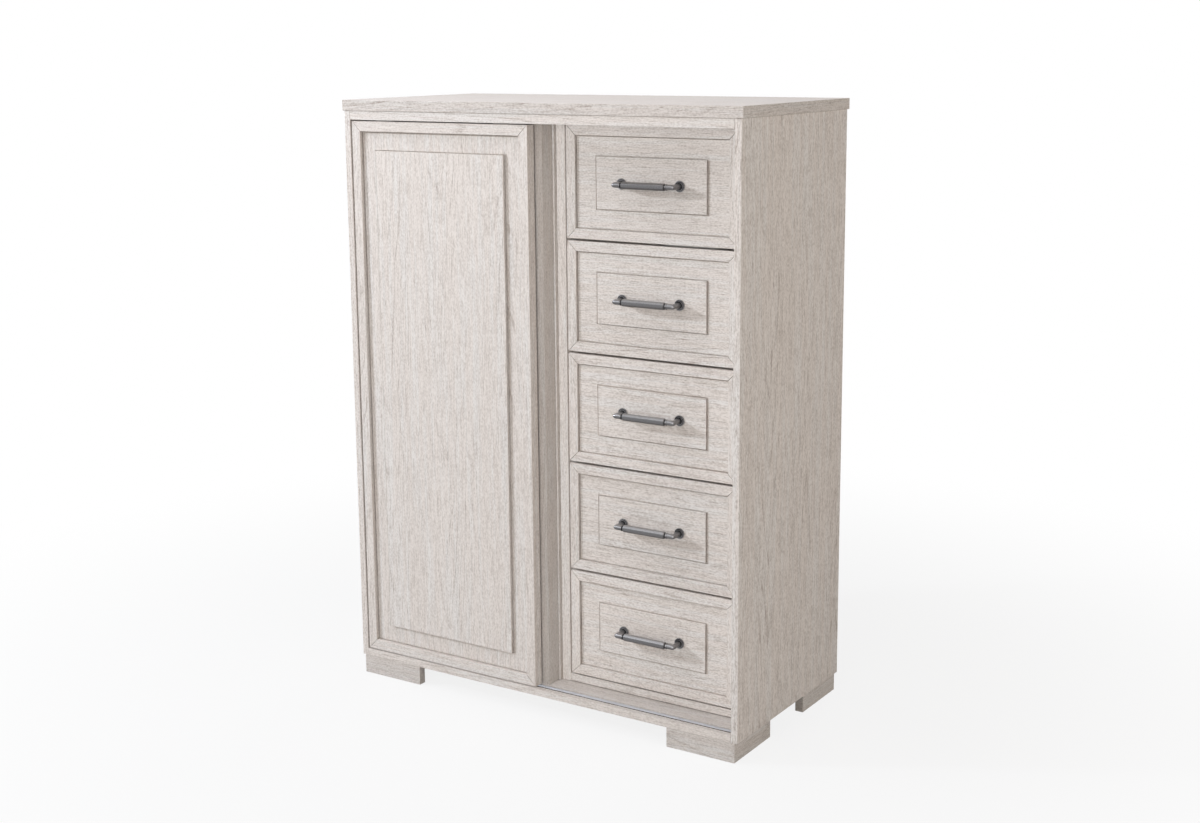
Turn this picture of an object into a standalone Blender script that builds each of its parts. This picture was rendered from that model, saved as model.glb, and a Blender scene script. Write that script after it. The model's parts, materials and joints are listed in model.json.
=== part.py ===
"""A sliding door chest: a shelf bay behind a door that slides on rollers, beside a bay of five drawers.

Metres, +Z up. The origin is on the floor under the middle of the top panel, and the front faces -Y.
"""

import math

import bmesh
import bpy
from mathutils import Vector

# Overall size, over the top panel and down to the floor
WIDTH = 0.980
DEPTH = 0.468
HEIGHT = 1.300

# Gap between pieces that rest on each other
SEAT = 0.0003

# Case boards
TOP_THICK = 0.023
TOP_SIDE_LAP = 0.004
TOP_FRONT_LAP = 0.002
TOP_BACK_LAP = 0.002
SUB_TOP_THICK = 0.019
SIDE_THICK = 0.015
BOTTOM_THICK = 0.016
PARTITION_THICK = 0.022
BACK_THICK = 0.005
BACK_INSET = 0.006

# Bracket feet, L-shaped in plan
FOOT_HEIGHT = 0.042
FOOT_LENGTH_X = 0.158
FOOT_LENGTH_Y = 0.156
FOOT_BOARD = 0.0185
FOOT_SIDE_INSET = 0.0064

# Shelves behind the door
SHELF_NAMES = ("shelf_lower", "shelf_upper")
SHELF_THICK = 0.016
SHELF_SETBACK = 0.020

# Sliding door
DOOR_INSET = 0.0028
DOOR_SIDE_GAP = 0.002
DOOR_LAP = 0.0057
DOOR_FLOOR_GAP = 0.0022
DOOR_TOP_GAP = 0.0025
DOOR_BACK_GAP = 0.002
DOOR_CORE_THICK = 0.015
DOOR_FRAME_WIDTH = 0.022
DOOR_FRAME_PROUD = 0.008
DOOR_PANEL_INSET = 0.063
DOOR_PANEL_RAISE = 0.006

# Door rollers, their track and the upper guides
WHEEL_RADIUS = 0.009
WHEEL_WIDTH = 0.0055
WHEEL_CLEAR = 0.001
WHEEL_SIDE_CLEAR = 0.0004
WHEEL_CHAMFER = 0.0008
WHEEL_SIDES = 32
AXLE_RADIUS = 0.002
AXLE_CLEAR = 0.0001
AXLE_SIDES = 24
AXLE_HOUSED = 0.001
HOUSING_LENGTH = 0.044
HOUSING_DEPTH = 0.011
HOUSING_ROOF = 0.003
ROLLER_INSET = 0.075
TRACK_WIDTH = 0.0146
TRACK_THICK = 0.0035
TRACK_SINK = 0.0008
TRACK_FIT = 0.0005
TRACK_SLOT_DEPTH = 0.0018
TRACK_SLOT_PLAY = 0.0006
GUIDE_LENGTH = 0.040
GUIDE_HEIGHT = 0.016
GUIDE_TONGUE = 0.005
GUIDE_REACH = 0.005
GUIDE_SIDE_CLEAR = 0.001
GUIDE_TOP_CLEAR = 0.003

# Face frame round the drawers
FILLER_WIDTH = 0.0046
FILLER_PROUD = 0.008
STILE_WIDTH = 0.0215
STILE_THICK = 0.018
STILE_SETBACK = 0.0012
RAIL_HEIGHT = 0.018

# Drawers
DRAWER_COUNT = 5
DRAWER_GAP = 0.0035
DRAWER_SIDE_GAP = 0.0039
FRONT_CORE = 0.015
FRONT_FRAME_WIDTH = 0.021
FRONT_FRAME_PROUD = 0.007
FRONT_PANEL_INSET_X = 0.072
FRONT_PANEL_INSET_Z = 0.063
FRONT_PANEL_RAISE = 0.0055
BOX_SIDE_INSET = 0.0035
BOX_RISE = 0.014
BOX_HEIGHT = 0.175
BOX_THICK = 0.014
BOX_REAR_GAP = 0.013
BOX_BOTTOM_THICK = 0.005
BOX_BOTTOM_RISE = 0.012
BOX_BOTTOM_HOUSED = 0.005
RUNNER_HEIGHT = 0.017
RUNNER_RISE = 0.080
RUNNER_HOUSED = 0.007
RUNNER_PLAY = 0.0005
RUNNER_FRONT_GAP = 0.002

# Drawer pulls
PULL_TO_DOOR_GAP = 0.0155
PULL_CENTRES = 0.135
PULL_STANDOFF = 0.02775
PULL_ROSETTES = ((0.0105, 0.0022), (0.0088, 0.0016), (0.0068, 0.0012))
PULL_ROD_RADIUS = 0.0048
PULL_BEND = 0.0075
PULL_BEND_STEPS = 4
PULL_SLEEVE_LENGTH = 0.103
PULL_SLEEVE_HALF = 0.00675
PULL_SIDES = 16

# Planes of the case that the other pieces take their places from
CASE_HALF = WIDTH / 2 - TOP_SIDE_LAP
INNER_HALF = CASE_HALF - SIDE_THICK
CASE_FRONT = -DEPTH / 2 + TOP_FRONT_LAP
CASE_BACK = DEPTH / 2 - TOP_BACK_LAP
BACK_FRONT = CASE_BACK - BACK_INSET - BACK_THICK
BOARD_BACK = BACK_FRONT - SEAT
TOP_UNDER = HEIGHT - TOP_THICK
SUB_TOP_UNDER = TOP_UNDER - SEAT - SUB_TOP_THICK
DECK = FOOT_HEIGHT + BOTTOM_THICK
PARTITION_HALF = PARTITION_THICK / 2

# Planes of the door
DOOR_LEFT = -INNER_HALF + DOOR_SIDE_GAP
DOOR_RIGHT = -PARTITION_HALF + DOOR_LAP
DOOR_WIDTH = DOOR_RIGHT - DOOR_LEFT
DOOR_BOTTOM = DECK + DOOR_FLOOR_GAP
DOOR_HEIGHT = SUB_TOP_UNDER - DOOR_TOP_GAP - DOOR_BOTTOM
DOOR_FRONT = CASE_FRONT + DOOR_INSET
DOOR_CORE_FRONT = DOOR_FRAME_PROUD + SEAT
DOOR_DEPTH = DOOR_CORE_FRONT + DOOR_CORE_THICK
DOOR_BACK = DOOR_FRONT + DOOR_DEPTH
ROLLER_Y = DOOR_BACK - HOUSING_DEPTH / 2
ROLLER_Z = DECK - TRACK_SINK - TRACK_SLOT_DEPTH + SEAT + WHEEL_RADIUS
PARTITION_FRONT = DOOR_BACK + DOOR_BACK_GAP

# Planes of the drawer bay
PULL_PROJECTION = PULL_STANDOFF + PULL_SLEEVE_HALF
PANEL_FACE = DOOR_BACK + PULL_TO_DOOR_GAP + PULL_PROJECTION + SEAT
PANEL_SETBACK = FRONT_FRAME_PROUD - FRONT_PANEL_RAISE
DRAWER_FACE = PANEL_FACE - PANEL_SETBACK
STILE_FRONT = DRAWER_FACE + STILE_SETBACK
STILE_BACK = STILE_FRONT + STILE_THICK
BAY_MARGIN = FILLER_WIDTH + STILE_WIDTH
BAY_LEFT = PARTITION_HALF + BAY_MARGIN
BAY_RIGHT = INNER_HALF - BAY_MARGIN
BAY_MIDDLE = (BAY_LEFT + BAY_RIGHT) / 2
DRAWER_WIDTH = BAY_RIGHT - BAY_LEFT - 2 * DRAWER_SIDE_GAP
DRAWERS_BOTTOM = DECK + RAIL_HEIGHT
DRAWER_PITCH = (SUB_TOP_UNDER - DRAWERS_BOTTOM - DRAWER_GAP) / DRAWER_COUNT
DRAWER_HEIGHT = DRAWER_PITCH - DRAWER_GAP
FRONT_THICK = FRONT_FRAME_PROUD + FRONT_CORE
BOX_HALF = DRAWER_WIDTH / 2 - BOX_SIDE_INSET
BOX_FRONT = FRONT_THICK + SEAT
BOX_BACK = BACK_FRONT - BOX_REAR_GAP - DRAWER_FACE

# How far a cutter runs past the faces that it cuts
CUT_PAST = 0.002

# Edges that turn more than this stay sharp on a round piece
SHARP_TURN = math.radians(30)


def clear_scene():
    """Remove every object of the scene."""
    for obj in list(bpy.data.objects):
        bpy.data.objects.remove(obj)


def finish(name, colour, roughness, metallic=0.0):
    """A Principled material of one colour."""
    made = bpy.data.materials.new(name)
    made.use_nodes = True
    shader = made.node_tree.nodes["Principled BSDF"]
    shader.inputs["Base Color"].default_value = (*colour, 1.0)
    shader.inputs["Roughness"].default_value = roughness
    shader.inputs["Metallic"].default_value = metallic
    return made


def mesh_of(name, points, faces):
    """A closed mesh with its faces turned outwards."""
    mesh = bpy.data.meshes.new(name)
    shape = bmesh.new()
    corners = [shape.verts.new(point) for point in points]
    for face in faces:
        shape.faces.new([corners[i] for i in face])
    bmesh.ops.recalc_face_normals(shape, faces=shape.faces)
    shape.to_mesh(mesh)
    shape.free()
    return mesh


def rounded(mesh):
    """The mesh shaded smooth over its round faces."""
    mesh.shade_smooth()
    mesh.set_sharp_from_angle(angle=SHARP_TURN)
    return mesh


def loft(name, rings):
    """Rings of equally many points joined in order, with the first and last ring capped."""
    count = len(rings[0])
    points = [point for ring in rings for point in ring]
    faces = [list(range(count))]
    for row in range(len(rings) - 1):
        start = row * count
        for i in range(count):
            after = (i + 1) % count
            faces.append((start + i, start + after, start + count + after, start + count + i))
    faces.append([len(points) - count + i for i in range(count)])
    return mesh_of(name, points, faces)


def extrusion(name, axis, outline, span):
    """An outline in the plane across an axis, carried along that axis from span[0] to span[1]."""
    place_of = {
        "X": lambda u, v, at: (at, u, v),
        "Y": lambda u, v, at: (u, at, v),
        "Z": lambda u, v, at: (u, v, at),
    }[axis]
    return loft(name, [[place_of(u, v, at) for u, v in outline] for at in span])


def rectangle(u, v):
    """The four corners of a rectangle between two spans."""
    return [(u[0], v[0]), (u[1], v[0]), (u[1], v[1]), (u[0], v[1])]


def place(name, mesh, surface, carrier=None, at=(0, 0, 0)):
    """A named object that shows a mesh, in the frame of its carrier."""
    obj = bpy.data.objects.new(name, mesh)
    obj.location = at
    obj.parent = carrier
    if not mesh.materials:
        mesh.materials.append(surface)
    bpy.context.scene.collection.objects.link(obj)
    return obj


def board(name, x, y, z, surface, carrier=None):
    """A flat board between three spans, with its origin at its middle."""
    middle = [(span[0] + span[1]) / 2 for span in (x, y, z)]
    half = [(span[1] - span[0]) / 2 for span in (x, y, z)]
    sides = [(-h, h) for h in half]
    mesh = extrusion(name, "Z", rectangle(sides[0], sides[1]), sides[2])
    return place(name, mesh, surface, carrier, middle)


def carrier_at(name, at):
    """An empty that carries the pieces of one moving body."""
    made = bpy.data.objects.new(name, None)
    made.location = at
    bpy.context.scene.collection.objects.link(made)
    return made


def combined(name, base, others, operation):
    """The mesh of a base mesh with others cut from it or joined to it."""
    body = bpy.data.objects.new(name, base)
    tools = [bpy.data.objects.new(name + "_tool", other) for other in others]
    for obj in (body, *tools):
        bpy.context.scene.collection.objects.link(obj)
    for tool in tools:
        step = body.modifiers.new("combine", "BOOLEAN")
        step.operation = operation
        step.solver = "EXACT"
        step.object = tool
    bpy.context.view_layer.update()
    graph = bpy.context.evaluated_depsgraph_get()
    mesh = bpy.data.meshes.new_from_object(body.evaluated_get(graph))
    mesh.name = name
    for obj in (body, *tools):
        bpy.data.objects.remove(obj)
    return mesh


def box_mesh(name, x, y, z):
    """A box between three spans."""
    return extrusion(name, "Z", rectangle(x, y), z)


def rod_mesh(name, radius, sides, y, middle):
    """A round rod along Y whose axis passes through middle, given as x and z."""
    turns = [2 * math.pi * i / sides for i in range(sides)]
    outline = [(middle[0] + radius * math.cos(t), middle[1] + radius * math.sin(t)) for t in turns]
    return extrusion(name, "Y", outline, y)


def build_case(laminate, inner, plain):
    """The case boards: top, sub top, sides, bottom, partition, back and shelves."""
    between = (-INNER_HALF + SEAT, INNER_HALF - SEAT)
    side_y = (CASE_FRONT, CASE_BACK)
    side_z = (FOOT_HEIGHT, TOP_UNDER - SEAT)
    board("top_panel", (-WIDTH / 2, WIDTH / 2), (-DEPTH / 2, DEPTH / 2), (TOP_UNDER, HEIGHT), laminate)
    board("side_panel_left", (-CASE_HALF, -INNER_HALF), side_y, side_z, laminate)
    board("side_panel_right", (INNER_HALF, CASE_HALF), side_y, side_z, laminate)
    place("sub_top", extrusion("sub_top", "X", sub_top_outline(), between), laminate)
    place("bottom_panel", extrusion("bottom_panel", "X", bottom_outline(), between), laminate)
    upright_z = (DECK + SEAT, SUB_TOP_UNDER - SEAT)
    partition_x = (-PARTITION_HALF, PARTITION_HALF)
    board("partition", partition_x, (PARTITION_FRONT, BOARD_BACK), upright_z, laminate)
    back_y = (BACK_FRONT, BACK_FRONT + BACK_THICK)
    board("back_panel", between, back_y, (FOOT_HEIGHT, TOP_UNDER - SEAT), plain)
    build_shelves(inner)


def build_shelves(inner):
    """Shelves that part the door bay into equal compartments."""
    count = len(SHELF_NAMES)
    shelf_x = (-INNER_HALF + SEAT, -PARTITION_HALF - SEAT)
    shelf_y = (PARTITION_FRONT + SHELF_SETBACK, BOARD_BACK)
    clear = (SUB_TOP_UNDER - DECK - count * SHELF_THICK) / (count + 1)
    for i, name in enumerate(SHELF_NAMES):
        low = DECK + (i + 1) * clear + i * SHELF_THICK
        board(name, shelf_x, shelf_y, (low, low + SHELF_THICK), inner)


def sub_top_outline():
    """The sub top across its length, as y and z, with the groove for the door's upper guides."""
    half = GUIDE_TONGUE / 2 + GUIDE_SIDE_CLEAR
    groove_top = SUB_TOP_UNDER + GUIDE_REACH + GUIDE_TOP_CLEAR
    top = SUB_TOP_UNDER + SUB_TOP_THICK
    return [
        (CASE_FRONT, SUB_TOP_UNDER),
        (ROLLER_Y - half, SUB_TOP_UNDER),
        (ROLLER_Y - half, groove_top),
        (ROLLER_Y + half, groove_top),
        (ROLLER_Y + half, SUB_TOP_UNDER),
        (BOARD_BACK, SUB_TOP_UNDER),
        (BOARD_BACK, top),
        (CASE_FRONT, top),
    ]


def bottom_outline():
    """The bottom panel across its length, as y and z, with the groove for the door track."""
    half = TRACK_WIDTH / 2 + TRACK_FIT
    groove_floor = DECK - TRACK_SINK - TRACK_THICK - SEAT
    return [
        (CASE_FRONT, FOOT_HEIGHT),
        (BOARD_BACK, FOOT_HEIGHT),
        (BOARD_BACK, DECK),
        (ROLLER_Y + half, DECK),
        (ROLLER_Y + half, groove_floor),
        (ROLLER_Y - half, groove_floor),
        (ROLLER_Y - half, DECK),
        (CASE_FRONT, DECK),
    ]


def build_track(metal):
    """The metal strip let into the bottom panel, with the slot that the rollers run in."""
    half = TRACK_WIDTH / 2
    slot_half = WHEEL_WIDTH / 2 + TRACK_SLOT_PLAY
    top = DECK - TRACK_SINK
    floor = top - TRACK_THICK
    slot_floor = top - TRACK_SLOT_DEPTH
    outline = [
        (ROLLER_Y - half, floor),
        (ROLLER_Y + half, floor),
        (ROLLER_Y + half, top),
        (ROLLER_Y + slot_half, top),
        (ROLLER_Y + slot_half, slot_floor),
        (ROLLER_Y - slot_half, slot_floor),
        (ROLLER_Y - slot_half, top),
        (ROLLER_Y - half, top),
    ]
    length = (-INNER_HALF + SEAT, INNER_HALF - SEAT)
    place("door_track", extrusion("door_track", "X", outline, length), metal)


def build_feet(laminate):
    """Four bracket feet: each an L of two boards, its long faces towards the outside of the case."""
    reach_x = CASE_HALF - FOOT_SIDE_INSET
    sides = (("left", -1), ("right", 1))
    ends = (("front", CASE_FRONT, 1), ("rear", CASE_BACK, -1))
    for side, turn_x in sides:
        for end, outer_y, turn_y in ends:
            corner = (turn_x * reach_x, outer_y)
            plan = (
                (0, 0),
                (FOOT_LENGTH_X, 0),
                (FOOT_LENGTH_X, FOOT_BOARD),
                (FOOT_BOARD, FOOT_BOARD),
                (FOOT_BOARD, FOOT_LENGTH_Y),
                (0, FOOT_LENGTH_Y),
            )
            outline = [(corner[0] - turn_x * u, corner[1] + turn_y * v) for u, v in plan]
            name = f"foot_{end}_{side}"
            place(name, extrusion(name, "Z", outline, (0, FOOT_HEIGHT - SEAT)), laminate)


def build_face_frame(laminate):
    """The filler strip, stiles and bottom rail round the drawers."""
    upright_z = (DECK + SEAT, SUB_TOP_UNDER - SEAT)
    frame_y = (STILE_FRONT, STILE_BACK)
    filler_x = (PARTITION_HALF + SEAT, PARTITION_HALF + FILLER_WIDTH)
    board("drawer_bay_filler", filler_x, (STILE_FRONT - FILLER_PROUD, STILE_BACK), upright_z, laminate)
    board("drawer_stile_left", (filler_x[1] + SEAT, BAY_LEFT), frame_y, upright_z, laminate)
    board("drawer_stile_right", (BAY_RIGHT, INNER_HALF - SEAT), frame_y, upright_z, laminate)
    rail_x = (BAY_LEFT + SEAT, BAY_RIGHT - SEAT)
    board("drawer_rail", rail_x, frame_y, (DECK + SEAT, DRAWERS_BOTTOM), laminate)


def mitred_frame(prefix, half_width, height, member, y, surface, carrier):
    """Four mouldings round a rectangle, mitred at the corners, each its own piece."""
    low = (-half_width, 0)
    high = (half_width, height)
    inner_low = (low[0] + member, low[1] + member)
    inner_high = (high[0] - member, high[1] - member)
    outlines = {
        "left": [low, inner_low, (inner_low[0], inner_high[1]), (low[0], high[1])],
        "right": [(high[0], low[1]), high, inner_high, (inner_high[0], inner_low[1])],
        "bottom": [low, (high[0], low[1]), (inner_high[0], inner_low[1]), inner_low],
        "top": [(low[0], high[1]), (inner_low[0], inner_high[1]), inner_high, high],
    }
    for side, outline in outlines.items():
        eased = outline if side in ("left", "right") else mitre_eased(outline)
        name = f"{prefix}_{side}"
        place(name, extrusion(name, "Y", eased, y), surface, carrier)


def mitre_eased(outline):
    """A level moulding drawn in at both mitres, so that it clears the upright mouldings."""
    middle = sum(u for u, _ in outline) / len(outline)
    return [(u + math.copysign(SEAT, middle - u), v) for u, v in outline]


def build_door(laminate, nylon):
    """The sliding door: core, mitred frame, raised panel, roller housings, rollers and upper guides."""
    half = DOOR_WIDTH / 2
    carrier = carrier_at("door_carrier", (DOOR_LEFT + half, DOOR_FRONT, DOOR_BOTTOM))
    place("door_core", door_core_mesh(half), laminate, carrier)
    frame_y = (0, DOOR_FRAME_PROUD)
    mitred_frame("door_frame", half, DOOR_HEIGHT, DOOR_FRAME_WIDTH, frame_y, laminate, carrier)
    panel_x = (-half + DOOR_PANEL_INSET, half - DOOR_PANEL_INSET)
    panel_y = (DOOR_FRAME_PROUD - DOOR_PANEL_RAISE, DOOR_FRAME_PROUD)
    panel_z = (DOOR_PANEL_INSET, DOOR_HEIGHT - DOOR_PANEL_INSET)
    board("door_raised_panel", panel_x, panel_y, panel_z, laminate, carrier)
    housing = housing_mesh()
    wheel = wheel_mesh()
    guide = guide_mesh()
    for side, turn in (("left", -1), ("right", 1)):
        at_x = turn * (half - ROLLER_INSET)
        roller = (at_x, ROLLER_Y - DOOR_FRONT, ROLLER_Z - DOOR_BOTTOM)
        place(f"roller_housing_{side}", housing, nylon, carrier, roller)
        place(f"roller_{side}", wheel, nylon, carrier, roller)
        place(f"upper_guide_{side}", guide, nylon, carrier, (at_x, roller[1], DOOR_HEIGHT))


def housing_height():
    """How far a roller housing reaches up from the door's lower edge."""
    return ROLLER_Z + WHEEL_RADIUS + WHEEL_CLEAR + HOUSING_ROOF - DOOR_BOTTOM


def door_core_mesh(half):
    """The core board, with mortises from behind for the roller housings and the upper guides."""
    core = box_mesh("door_core", (-half, half), (DOOR_CORE_FRONT, DOOR_DEPTH), (0, DOOR_HEIGHT))
    mortise_y = (DOOR_DEPTH - HOUSING_DEPTH - SEAT, DOOR_DEPTH + CUT_PAST)
    cutters = []
    for turn in (-1, 1):
        at_x = turn * (half - ROLLER_INSET)
        reach = HOUSING_LENGTH / 2 + SEAT
        low_z = (-CUT_PAST, housing_height() + SEAT)
        cutters.append(box_mesh("mortise", (at_x - reach, at_x + reach), mortise_y, low_z))
        reach = GUIDE_LENGTH / 2 + SEAT
        high_z = (DOOR_HEIGHT - GUIDE_HEIGHT - SEAT, DOOR_HEIGHT + CUT_PAST)
        cutters.append(box_mesh("mortise", (at_x - reach, at_x + reach), mortise_y, high_z))
    return combined("door_core", core, cutters, "DIFFERENCE")


def housing_mesh():
    """A roller housing about its axle: a roof over two cheeks, with the axle across them."""
    half_length = HOUSING_LENGTH / 2
    half_depth = HOUSING_DEPTH / 2
    slot = WHEEL_WIDTH / 2 + WHEEL_SIDE_CLEAR
    low = DOOR_BOTTOM - ROLLER_Z
    roof_under = WHEEL_RADIUS + WHEEL_CLEAR
    roof_top = roof_under + HOUSING_ROOF
    outline = [
        (-half_depth, low),
        (-slot, low),
        (-slot, roof_under),
        (slot, roof_under),
        (slot, low),
        (half_depth, low),
        (half_depth, roof_top),
        (-half_depth, roof_top),
    ]
    shell = extrusion("roller_housing", "X", outline, (-half_length, half_length))
    axle_y = (-slot - AXLE_HOUSED, slot + AXLE_HOUSED)
    axle = rod_mesh("axle", AXLE_RADIUS, AXLE_SIDES, axle_y, (0, 0))
    return rounded(combined("roller_housing", shell, [axle], "UNION"))


def wheel_mesh():
    """A roller about its axle, turned round Y: a bored disc with its rims chamfered."""
    half = WHEEL_WIDTH / 2
    bore = AXLE_RADIUS + AXLE_CLEAR
    shoulder = WHEEL_RADIUS - WHEEL_CHAMFER
    profile = (
        (bore, -half),
        (shoulder, -half),
        (WHEEL_RADIUS, -half + WHEEL_CHAMFER),
        (WHEEL_RADIUS, half - WHEEL_CHAMFER),
        (shoulder, half),
        (bore, half),
    )
    count = len(profile)
    points = []
    faces = []
    for step in range(WHEEL_SIDES):
        turn = 2 * math.pi * step / WHEEL_SIDES
        points += [(r * math.cos(turn), y, r * math.sin(turn)) for r, y in profile]
        after = (step + 1) % WHEEL_SIDES
        for i in range(count):
            j = (i + 1) % count
            faces.append((step * count + i, step * count + j, after * count + j, after * count + i))
    return rounded(mesh_of("roller", points, faces))


def guide_mesh():
    """An upper guide about the door's top edge: a block in the door and a tongue that rises above it."""
    half = HOUSING_DEPTH / 2
    tongue = GUIDE_TONGUE / 2
    reach = DOOR_TOP_GAP + GUIDE_REACH
    outline = [
        (-half, -GUIDE_HEIGHT),
        (half, -GUIDE_HEIGHT),
        (half, 0),
        (tongue, 0),
        (tongue, reach),
        (-tongue, reach),
        (-tongue, 0),
        (-half, 0),
    ]
    return extrusion("upper_guide", "X", outline, (-GUIDE_LENGTH / 2, GUIDE_LENGTH / 2))


def front_mesh():
    """A drawer front: a core with a proud frame and a raised panel, as rectangles stepped inwards."""
    rear = FRONT_THICK
    field = FRONT_FRAME_PROUD
    panel = FRONT_FRAME_PROUD - FRONT_PANEL_RAISE
    steps = (
        (0, 0, rear),
        (0, 0, 0),
        (FRONT_FRAME_WIDTH, FRONT_FRAME_WIDTH, 0),
        (FRONT_FRAME_WIDTH, FRONT_FRAME_WIDTH, field),
        (FRONT_PANEL_INSET_X, FRONT_PANEL_INSET_Z, field),
        (FRONT_PANEL_INSET_X, FRONT_PANEL_INSET_Z, panel),
    )
    half = DRAWER_WIDTH / 2
    rings = []
    for inset_x, inset_z, y in steps:
        corners = rectangle((-half + inset_x, half - inset_x), (inset_z, DRAWER_HEIGHT - inset_z))
        rings.append([(x, y, z) for x, z in corners])
    return loft("drawer_front", rings)


def drawer_box_mesh():
    """A drawer's two sides and back, with grooves for its bottom and for the runners."""
    low = BOX_RISE
    high = BOX_RISE + BOX_HEIGHT
    inside = BOX_HALF - BOX_THICK
    inside_back = BOX_BACK - BOX_THICK
    body = box_mesh("drawer_box", (-BOX_HALF, BOX_HALF), (BOX_FRONT, BOX_BACK), (low, high))
    before = BOX_FRONT - CUT_PAST
    room = box_mesh("room", (-inside, inside), (before, inside_back), (low - CUT_PAST, high + CUT_PAST))
    wide = inside + BOX_BOTTOM_HOUSED
    floor = low + BOX_BOTTOM_RISE
    floor_z = (floor - SEAT, floor + BOX_BOTTOM_THICK + SEAT)
    slot = box_mesh("slot", (-wide, wide), (before, inside_back + BOX_BOTTOM_HOUSED), floor_z)
    groove_z = (low + RUNNER_RISE - RUNNER_PLAY, low + RUNNER_RISE + RUNNER_HEIGHT + SEAT)
    groove_y = (before, BOX_BACK + CUT_PAST)
    groove_in = BOX_HALF - RUNNER_HOUSED - RUNNER_PLAY
    grooves = [
        box_mesh("groove", (-BOX_HALF - CUT_PAST, -groove_in), groove_y, groove_z),
        box_mesh("groove", (groove_in, BOX_HALF + CUT_PAST), groove_y, groove_z),
    ]
    return combined("drawer_box", body, [room, slot, *grooves], "DIFFERENCE")


def drawer_bottom_mesh():
    """A drawer's bottom panel, housed in the grooves of its box."""
    wide = BOX_HALF - BOX_THICK + BOX_BOTTOM_HOUSED - SEAT
    back = BOX_BACK - BOX_THICK + BOX_BOTTOM_HOUSED - SEAT
    floor = BOX_RISE + BOX_BOTTOM_RISE
    return box_mesh("drawer_bottom", (-wide, wide), (BOX_FRONT, back), (floor, floor + BOX_BOTTOM_THICK))


def pull_ring(at, heading, radius, facets):
    """Points round a rod at a place: a circle, or an octagon of flats that far from the axis."""
    across = Vector((heading[1], -heading[0], 0))
    corner = radius / math.cos(math.pi / 8) if facets else radius
    points = []
    for i in range(PULL_SIDES):
        turn = 2 * math.pi * i / PULL_SIDES
        reach = corner if i % 2 else radius
        point = Vector(at) + reach * (math.cos(turn) * across + math.sin(turn) * Vector((0, 0, 1)))
        points.append(tuple(point))
    return points


def pull_stations():
    """The left half of a pull from its rosette to its middle: place, heading, radius and whether faceted."""
    start_x = -PULL_CENTRES / 2
    out = (0, -1)
    along = (1, 0)
    stations = []
    stood = 0.0
    for radius, thick in PULL_ROSETTES:
        stations.append(((start_x, -stood, 0), out, radius, False))
        stood += thick
        stations.append(((start_x, -stood, 0), out, radius, False))
    stations.append(((start_x, -stood, 0), out, PULL_ROD_RADIUS, False))
    bend_y = -PULL_STANDOFF + PULL_BEND
    for step in range(PULL_BEND_STEPS + 1):
        turn = math.pi / 2 * step / PULL_BEND_STEPS
        bent_x = start_x + PULL_BEND * (1 - math.cos(turn))
        bent_y = bend_y - PULL_BEND * math.sin(turn)
        stations.append(((bent_x, bent_y, 0), (math.sin(turn), -math.cos(turn)), PULL_ROD_RADIUS, False))
    sleeve_x = -PULL_SLEEVE_LENGTH / 2
    stations.append(((sleeve_x, -PULL_STANDOFF, 0), along, PULL_ROD_RADIUS, False))
    stations.append(((sleeve_x, -PULL_STANDOFF, 0), along, PULL_SLEEVE_HALF, True))
    return stations


def pull_mesh():
    """A bar pull about the middle of its seat: stepped rosettes, bent posts and a faceted sleeve."""
    left = pull_stations()
    right = [((-x, y, z), (head[0], -head[1]), r, facets) for (x, y, z), head, r, facets in reversed(left)]
    return rounded(loft("drawer_pull", [pull_ring(*station) for station in left + right]))


def build_drawers(laminate, lining, plain, pewter, timber):
    """The drawers from the top down, each on a carrier of its own, and the runners that hold them."""
    front = front_mesh()
    box = drawer_box_mesh()
    bottom = drawer_bottom_mesh()
    pull = pull_mesh()
    pull_at = (0, PANEL_SETBACK - SEAT, DRAWER_HEIGHT / 2)
    for number in range(1, DRAWER_COUNT + 1):
        low = DRAWERS_BOTTOM + DRAWER_GAP + (DRAWER_COUNT - number) * DRAWER_PITCH
        carrier = carrier_at(f"drawer_{number}_carrier", (BAY_MIDDLE, DRAWER_FACE, low))
        place(f"drawer_{number}_front", front, laminate, carrier)
        place(f"drawer_{number}_box", box, lining, carrier)
        place(f"drawer_{number}_bottom", bottom, plain, carrier)
        place(f"drawer_{number}_pull", pull, pewter, carrier, pull_at)
        build_runners(number, low, timber)


def build_runners(number, low, timber):
    """The two battens that carry one drawer by the grooves in its sides."""
    z = (low + BOX_RISE + RUNNER_RISE, low + BOX_RISE + RUNNER_RISE + RUNNER_HEIGHT)
    y = (DRAWER_FACE + FRONT_THICK + RUNNER_FRONT_GAP, BOARD_BACK)
    reach = BOX_HALF - RUNNER_HOUSED
    board(f"drawer_{number}_runner_left", (PARTITION_HALF + SEAT, BAY_MIDDLE - reach), y, z, timber)
    board(f"drawer_{number}_runner_right", (BAY_MIDDLE + reach, INNER_HALF - SEAT), y, z, timber)


def main():
    """Build the chest."""
    clear_scene()
    laminate = finish("oak_laminate", (0.62, 0.57, 0.53), 0.55)
    inner = finish("inner_laminate", (0.58, 0.53, 0.48), 0.6)
    plain = finish("hardboard", (0.42, 0.35, 0.28), 0.75)
    lining = finish("box_lining", (0.60, 0.55, 0.48), 0.6)
    timber = finish("runner_timber", (0.52, 0.40, 0.27), 0.65)
    metal = finish("track_metal", (0.78, 0.79, 0.81), 0.35, 1.0)
    pewter = finish("pewter", (0.17, 0.165, 0.17), 0.35, 1.0)
    nylon = finish("nylon", (0.72, 0.71, 0.68), 0.45)
    build_case(laminate, inner, plain)
    build_track(metal)
    build_feet(laminate)
    build_face_frame(laminate)
    build_door(laminate, nylon)
    build_drawers(laminate, lining, plain, pewter, timber)


main()
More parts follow.
